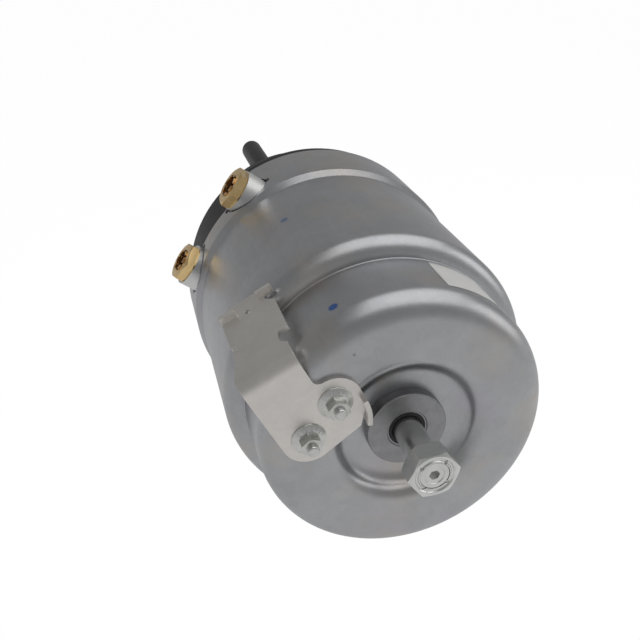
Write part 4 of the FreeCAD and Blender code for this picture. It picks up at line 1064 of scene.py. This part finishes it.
@dataclass
class ReleaseBolt:
    """The bolt: shank, thrust head, and hexagon with four staked notches."""

    radius: float = 7.8
    tip: float = 345.2
    head: float = 151.0
    head_radius: float = 13.0
    head_height: float = 7.0
    socket_corner: float = 2.887
    socket_depth: float = 4.5
    across: float = 24.0
    hex_low: float = 334.0
    hex_top: float = 345.6
    hex_edge: float = 0.35
    play: float = 0.02
    overrun: float = 2.0
    stakes: int = 4
    stake_ring: float = 8.75

    def build(self, looks: Looks) -> None:
        """Build and dress the bolt and its hexagon.

        Args:
            looks: The materials by finish.
        """
        r, tip, low, shelf = self.radius, self.tip, self.head, self.head + self.head_height
        work = lathe(rounded([
            (0.0, low, 0.0), (self.head_radius, low, 0.8), (self.head_radius, shelf, 0.5), (r, shelf, 0.6),
            (r, 250.0, 0.0), (r, 300.0, 0.0), (r, tip, 0.7), (5.2, tip, 0.3), (4.9, tip - 0.5, 0.2),
            (0.0, tip - 0.5, 0.0)]), 64)
        turn = Matrix.Rotation(math.radians(Turn.HEX), 4, "Z")
        bolt = as_object("release_bolt_piece", work, turn)
        socket = prism(hexagon_outline(self.socket_corner), tip - self.socket_depth, tip + self.overrun)
        cut_away(bolt, [as_object("socket_cutter", socket, turn)])
        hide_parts("release_bolt")
        dress(bolt, looks["shank"], Body.BOLT)
        self.build_hexagon(looks["shank"], turn)

    def build_hexagon(self, material: bpy.types.Material, turn: Matrix) -> None:
        """Build the hexagon with chamfered corners, a ring groove and its staked notches.

        Args:
            material: Its material.
            turn: How it is turned.
        """
        low, top, bore = self.hex_low, self.hex_top, self.radius + self.play
        hexagon = as_object("release_hex", prism(hexagon_outline(self.across / math.sqrt(3.0)), low, top))
        soften(hexagon, self.hex_edge)
        turned = as_object("hex_turning", lathe(rounded([
            (0.0, low - 0.01, 0.0), (11.7, low - 0.01, 0.4), (13.9, low + 1.4, 0.4),
            (14.2, low + 3.0, 0.0), (14.2, top - 3.0, 0.0), (13.9, top - 1.3, 0.4),
            (11.6, top + 0.01, 0.5), (10.4, top + 0.01, 0.3), (9.7, top - 0.9, 0.2),
            (8.9, top - 0.9, 0.2), (8.3, top - 0.1, 0.3), (0.0, top - 0.1, 0.0)]), 96))
        carve(hexagon, [turned], Carving.KEEP)
        under, over = low - self.overrun, top + self.overrun
        hole = lathe([(0.0, under), (bore, under), (bore, over), (0.0, over)], 64)
        cutters = [as_object("hex_bore", hole)]
        for number in range(self.stakes):
            notch = lathe(rounded([(0.0, top - 1.5, 0.0), (0.9, top - 1.5, 0.2), (1.25, top + 1.0, 0.0),
                                   (0.0, top + 1.0, 0.0)]), 16)
            spot = polar(self.stake_ring, 45.0 + 360.0 / self.stakes * number)
            cutters.append(as_object("stake_cutter", notch, Matrix.Translation(spot)))
        cut_away(hexagon, cutters)
        hexagon.data.transform(TO_ROW @ turn @ TO_ROW.inverted())
        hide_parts("release_hex_nut")
        dress(hexagon, material, Body.BOLT)


@dataclass
class PortFittings:
    """The two brass push-in fittings, by levels from the end of the boss."""

    out: float = 93.5
    service_turn: float = 45.0
    parking_turn: float = 22.0
    across: float = 24.0
    foot: float = -14.0
    seat: float = -6.0
    neck_low: float = -2.0
    height: float = 6.0
    bore: float = 5.2
    mouth: float = 7.6
    neck: float = 9.7
    shank: float = 10.95
    corners: float = 13.9
    spare: float = 0.2
    teeth: int = 8
    tooth_gap: float = 1.8

    def build(self, looks: Looks) -> None:
        """Build and dress both fittings.

        Args:
            looks: The materials by finish.
        """
        for name, side, spin in (("service", 1.0, self.service_turn), ("parking", -1.0, self.parking_turn)):
            place = port_axes(side * PORT_SPACING, self.out) @ Matrix.Rotation(math.radians(spin), 4, "Z")
            self.build_body(name, place, looks["brass"])
            self.build_collet(name, place, looks["collet"])
            dress_node(name + "_port_ring", looks["rubber"])

    def build_body(self, name: str, place: Matrix, material: bpy.types.Material) -> None:
        """Build one fitting's hexagon, shank and stepped bore.

        Args:
            name: The port's name.
            place: Where it goes.
            material: Its material.
        """
        foot, top, bore, mouth = self.foot, self.height, self.bore, self.mouth
        flats = prism(hexagon_outline(self.across / math.sqrt(3.0)), foot - self.spare, top + self.spare)
        hexagon = as_object(name + "_flats", flats, place)
        body = as_object(name + "_fitting_piece", lathe(rounded([
            (bore, foot, 0.0), (self.shank - 0.55, foot, 0.0), (self.shank, foot + 0.6, 0.0),
            (self.shank, self.neck_low, 0.0), (self.neck, self.neck_low, 0.0), (self.neck, 0.0, 0.0),
            (self.corners - 1.3, 0.0, 0.3), (self.corners, 0.9, 0.3), (self.corners, top - 1.1, 0.3),
            (self.corners - 2.0, top, 0.4), (mouth + 2.0, top, 0.3), (mouth + 1.5, top + 0.9, 0.3),
            (mouth + 0.8, top + 0.9, 0.3), (mouth, top + 0.2, 0.2), (mouth, self.seat, 0.0),
            (bore, self.seat, 0.2)]), 72), place)
        carve(body, [hexagon], Carving.KEEP)
        shade(body.data)
        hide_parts(name + "_port_fitting")
        dress(body, material, Body.HOUSING)

    def build_collet(self, name: str, place: Matrix, material: bpy.types.Material) -> None:
        """Build one toothed release ring.

        Args:
            name: The port's name.
            place: Where it goes.
            material: Its material.
        """
        sleeve = as_object(name + "_collet_piece", lathe(rounded([
            (6.1, -5.0, 0.0), (7.5, -5.0, 0.0), (7.5, 7.2, 0.3), (6.1, 7.2, 0.4)]), 64), place)
        half = self.tooth_gap / 2
        cutters = []
        for number in range(self.teeth):
            gap = prism([(5.0, -half), (9.0, -half), (9.0, half), (5.0, half)], 5.0, 9.0)
            spin = Matrix.Rotation(math.radians(360.0 / self.teeth * number), 4, "Z")
            cutters.append(as_object("tooth_gap", gap, place @ spin))
        cut_away(sleeve, cutters)
        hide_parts(name + "_port_collet")
        dress(sleeve, material, Body.HOUSING)


@dataclass
class Bracket:
    """The formed sheet bracket and its fasteners, by the rounding of their edges."""

    sheet_edge: float = 0.35
    washer_edge: float = 0.25
    nut_edge: float = 0.3
    stud_edge: float = 0.4

    def build(self, looks: Looks) -> None:
        """Build and dress the bracket, washers, nuts and studs.

        Args:
            looks: The materials by finish.
        """
        dress(dressed_copy("bracket", self.sheet_edge), looks["bracket"], Body.HOUSING)
        for node, edge in (("bracket_washers", self.washer_edge), ("bracket_nuts", self.nut_edge),
                           ("bracket_studs", self.stud_edge)):
            dress(dressed_copy(node, edge), looks["fastener"], Body.HOUSING)


@dataclass
class ServiceHousing:
    """The black housing, its studs and the die-cast flange."""

    edge: float = 0.5

    def build(self, looks: Looks) -> None:
        """Build and dress the housing's pieces.

        Args:
            looks: The materials by finish.
        """
        for node, finish, slot in (("service_housing", "black_paint", "black_housing"),
                                   ("mounting_studs", "black_stud", "black_stud")):
            dress(dressed_copy(node, self.edge), looks[finish], Body.HOUSING)
        dress_node("flange_body", looks["die_cast"])


@dataclass
class Internals:
    """What the chamber holds inside."""

    plain: dict[str, str] = field(default_factory=lambda: {
        "hub_guide_ring": "guide", "hub_seal_rings": "rubber", "flange_seal_ring": "rubber",
        "bush_retaining_ring": "fastener", "parking_piston": "piston", "piston_seal": "rubber",
        "piston_guide_ring": "guide", "piston_tube": "tube", "tube_end_plug": "piston",
        "push_plate": "fastener", "pushrod": "tube", "boot_clamp_ring": "fastener",
        "bolt_thrust_washer": "disc"})

    def build(self, looks: Looks, coils: CoilMaker) -> None:
        """Dress the solid pieces and wind the springs.

        Args:
            looks: The materials by finish.
            coils: The maker of springs.
        """
        for node, finish in self.plain.items():
            dress_node(node, looks[finish])
        power = coils.wind("power_spring_piece", {
            "Turns": 5.6, "Start Radius": 0.060, "End Radius": 0.060, "Wire": 0.0119, "Low": 0.2319,
            "High": 0.3006, "Flat Share": 0.09, "Steps": 72, "Round Steps": 16, "Finish": looks["spring"]})
        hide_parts("power_spring")
        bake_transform(power)
        LOG.info("piece %s rides on two bodies", power.name)
        back = coils.wind("return_spring_piece", {
            "Turns": 4.2, "Start Radius": 0.044, "End Radius": 0.030, "Wire": 0.0034, "Low": 0.0391,
            "High": 0.0979, "Flat Share": 0.1, "Steps": 64, "Round Steps": 12, "Finish": looks["spring"]})
        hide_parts("return_spring")
        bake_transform(back)
        LOG.info("piece %s rides on two bodies", back.name)
        self.build_diaphragm(looks["rubber"])
        self.build_boot(looks["rubber"])

    def build_diaphragm(self, material: bpy.types.Material) -> None:
        """Build the dished diaphragm, whose centre moves with the plate.

        Args:
            material: Its material.
        """
        # The cone has no ring of corners between its two ends, so it stays a cone while it turns over
        piece = as_object("diaphragm_piece", lathe([
            (0.0, 104.0), (60.0, 104.0), (77.5, 90.0), (79.0, 90.0), (79.0, 87.0), (83.8, 87.0),
            (83.8, 93.0), (77.5, 93.0), (60.0, 107.0), (0.0, 107.0)], 120))
        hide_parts("diaphragm")
        dress(piece, material)
        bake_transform(piece)

    def build_boot(self, material: bpy.types.Material) -> None:
        """Build the boot, which folds between the mounting face and the rod.

        Args:
            material: Its material.
        """
        piece = as_object("pushrod_boot_piece", lathe([
            (28.7, 34.5), (30.7, 34.5), (30.7, 37.2), (34.2, 37.2), (34.2, 39.2), (23.7, 39.2),
            (23.7, 67.6), (14.7, 90.0), (14.7, 98.0), (12.7, 98.0), (12.7, 89.0), (21.7, 66.6),
            (21.7, 37.2), (28.7, 37.2)], 96))
        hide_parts("pushrod_boot")
        dress(piece, material)
        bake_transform(piece)


@dataclass
class Studio:
    """The camera, lamps, floor and world, with lengths in metres and turns in degrees."""

    lens: float = 45.02
    sensor: float = 36.0
    nearest: float = 0.01
    farthest: float = 50.0
    spot: Point = (-0.13017, -0.59447, 0.25046)
    tilt: float = 61.775
    turn: float = -14.357
    middle: Point = (0.0, -0.15, 0.0)
    side_tone: float = 0.36
    top_tone: float = 0.22
    top_height: float = 0.9
    floor_level: float = -0.40
    floor_half: float = 6.0
    glow: float = 1.07
    glow_seen: float = 0.9
    glow_mirrored: float = 0.3

    def build(self) -> None:
        """Build the studio."""
        self.camera()
        self.world()
        self.floor()
        self.lamp("key", (0.5, -0.2, 1.5), size=2.0, power=11.9)
        self.lamp("right_side", (1.5, -0.45, 0.5), size=0.9, power=2.5)
        bpy.context.scene.view_settings.view_transform = "Standard"

    def camera(self) -> None:
        """Place the camera at the photograph's view."""
        data = bpy.data.cameras.new("camera")
        data.lens = self.lens
        data.sensor_width = self.sensor
        data.clip_start = self.nearest
        data.clip_end = self.farthest
        camera = in_scene("camera", data)
        camera.location = self.spot
        camera.rotation_euler = (math.radians(self.tilt), 0.0, math.radians(self.turn))
        bpy.context.scene.camera = camera

    def lamp(self, name: str, spot: Point, size: float, power: float) -> None:
        """Hang one soft square lamp that faces the part.

        Args:
            name: Its name.
            spot: Its place.
            size: Its side.
            power: Its power in watts.
        """
        data = bpy.data.lights.new(name, "AREA")
        data.size = size
        data.energy = power
        lamp = in_scene(name, data)
        lamp.location = spot
        lamp.rotation_euler = (Vector(self.middle) - Vector(spot)).to_track_quat("-Z", "Y").to_euler()

    @staticmethod
    def seen(bench: Bench) -> Socket:
        """1 for rays from the camera or through glass, and 0 for the others."""
        path = bench.add("ShaderNodeLightPath").outputs
        return bench.math("MAXIMUM", path["Is Camera Ray"], path["Is Transmission Ray"])

    def world(self) -> None:
        """White seen directly, and a plain pale room that lights the object."""
        world = bpy.data.worlds.new("studio")
        world.use_nodes = True
        bpy.context.scene.world = world
        bench = Bench(world.node_tree)
        background = world.node_tree.nodes["Background"]
        share = self.seen(bench)
        vector = bench.add("ShaderNodeTexCoord").outputs["Generated"]
        up = bench.add("ShaderNodeSeparateXYZ", {"Vector": vector}).outputs["Z"]
        level = bench.ramp(up, 0.0, self.top_height, self.side_tone, self.top_tone)
        bench.join(bench.mix(share, bench.grey(level), WHITE), background.inputs["Color"])

    def floor(self) -> None:
        """A plain pale floor well below the part."""
        work = bmesh.new()
        half = self.floor_half
        work.faces.new([work.verts.new((x, y, self.floor_level))
                        for x, y in ((-half, -half), (half, -half), (half, half), (-half, half))])
        mesh = bpy.data.meshes.new("floor")
        work.to_mesh(mesh)
        work.free()
        floor = in_scene("floor", mesh)
        material = bpy.data.materials.new("pale_floor")
        material.use_nodes = True
        bench = Bench(material.node_tree)
        shader = material.node_tree.nodes["Principled BSDF"]
        vector = bench.add("ShaderNodeTexCoord").outputs["Object"]
        tone = bench.mix(bench.noise(vector, 3.0), (0.80, 0.80, 0.80), (0.84, 0.84, 0.84))
        bench.join(tone, shader.inputs["Base Color"])
        shader.inputs["Roughness"].default_value = 0.9
        glow = bench.add("ShaderNodeEmission", {"Color": (*WHITE, 1.0), "Strength": self.glow})
        glossy = bench.add("ShaderNodeLightPath").outputs["Is Glossy Ray"]
        mirrored = bench.math("MULTIPLY", glossy, self.glow_mirrored)
        share = bench.math("MAXIMUM", bench.math("MULTIPLY", self.seen(bench), self.glow_seen), mirrored)
        mixed = bench.add("ShaderNodeMixShader", {0: share, 1: shader.outputs[0], 2: glow.outputs[0]})
        output = material.node_tree.nodes["Material Output"]
        bench.join(mixed.outputs[0], output.inputs["Surface"])
        mesh.materials.append(material)


def main() -> None:
    """Build the part and its studio."""
    logging.basicConfig(level=logging.INFO, format="%(name)s: %(message)s")
    effects = Effects()
    looks = {name: finish.build(effects) for name, finish in FINISHES.items()}
    coils = CoilMaker()
    Studio().build()
    for assembly in (SpringHousing(), ReleaseDisc(), BlankLabel(), ReleaseBolt(), PortFittings(), Bracket(),
                     ServiceHousing()):
        assembly.build(looks)
    Internals().build(looks, coils)


if __name__ == "__main__":
    main()
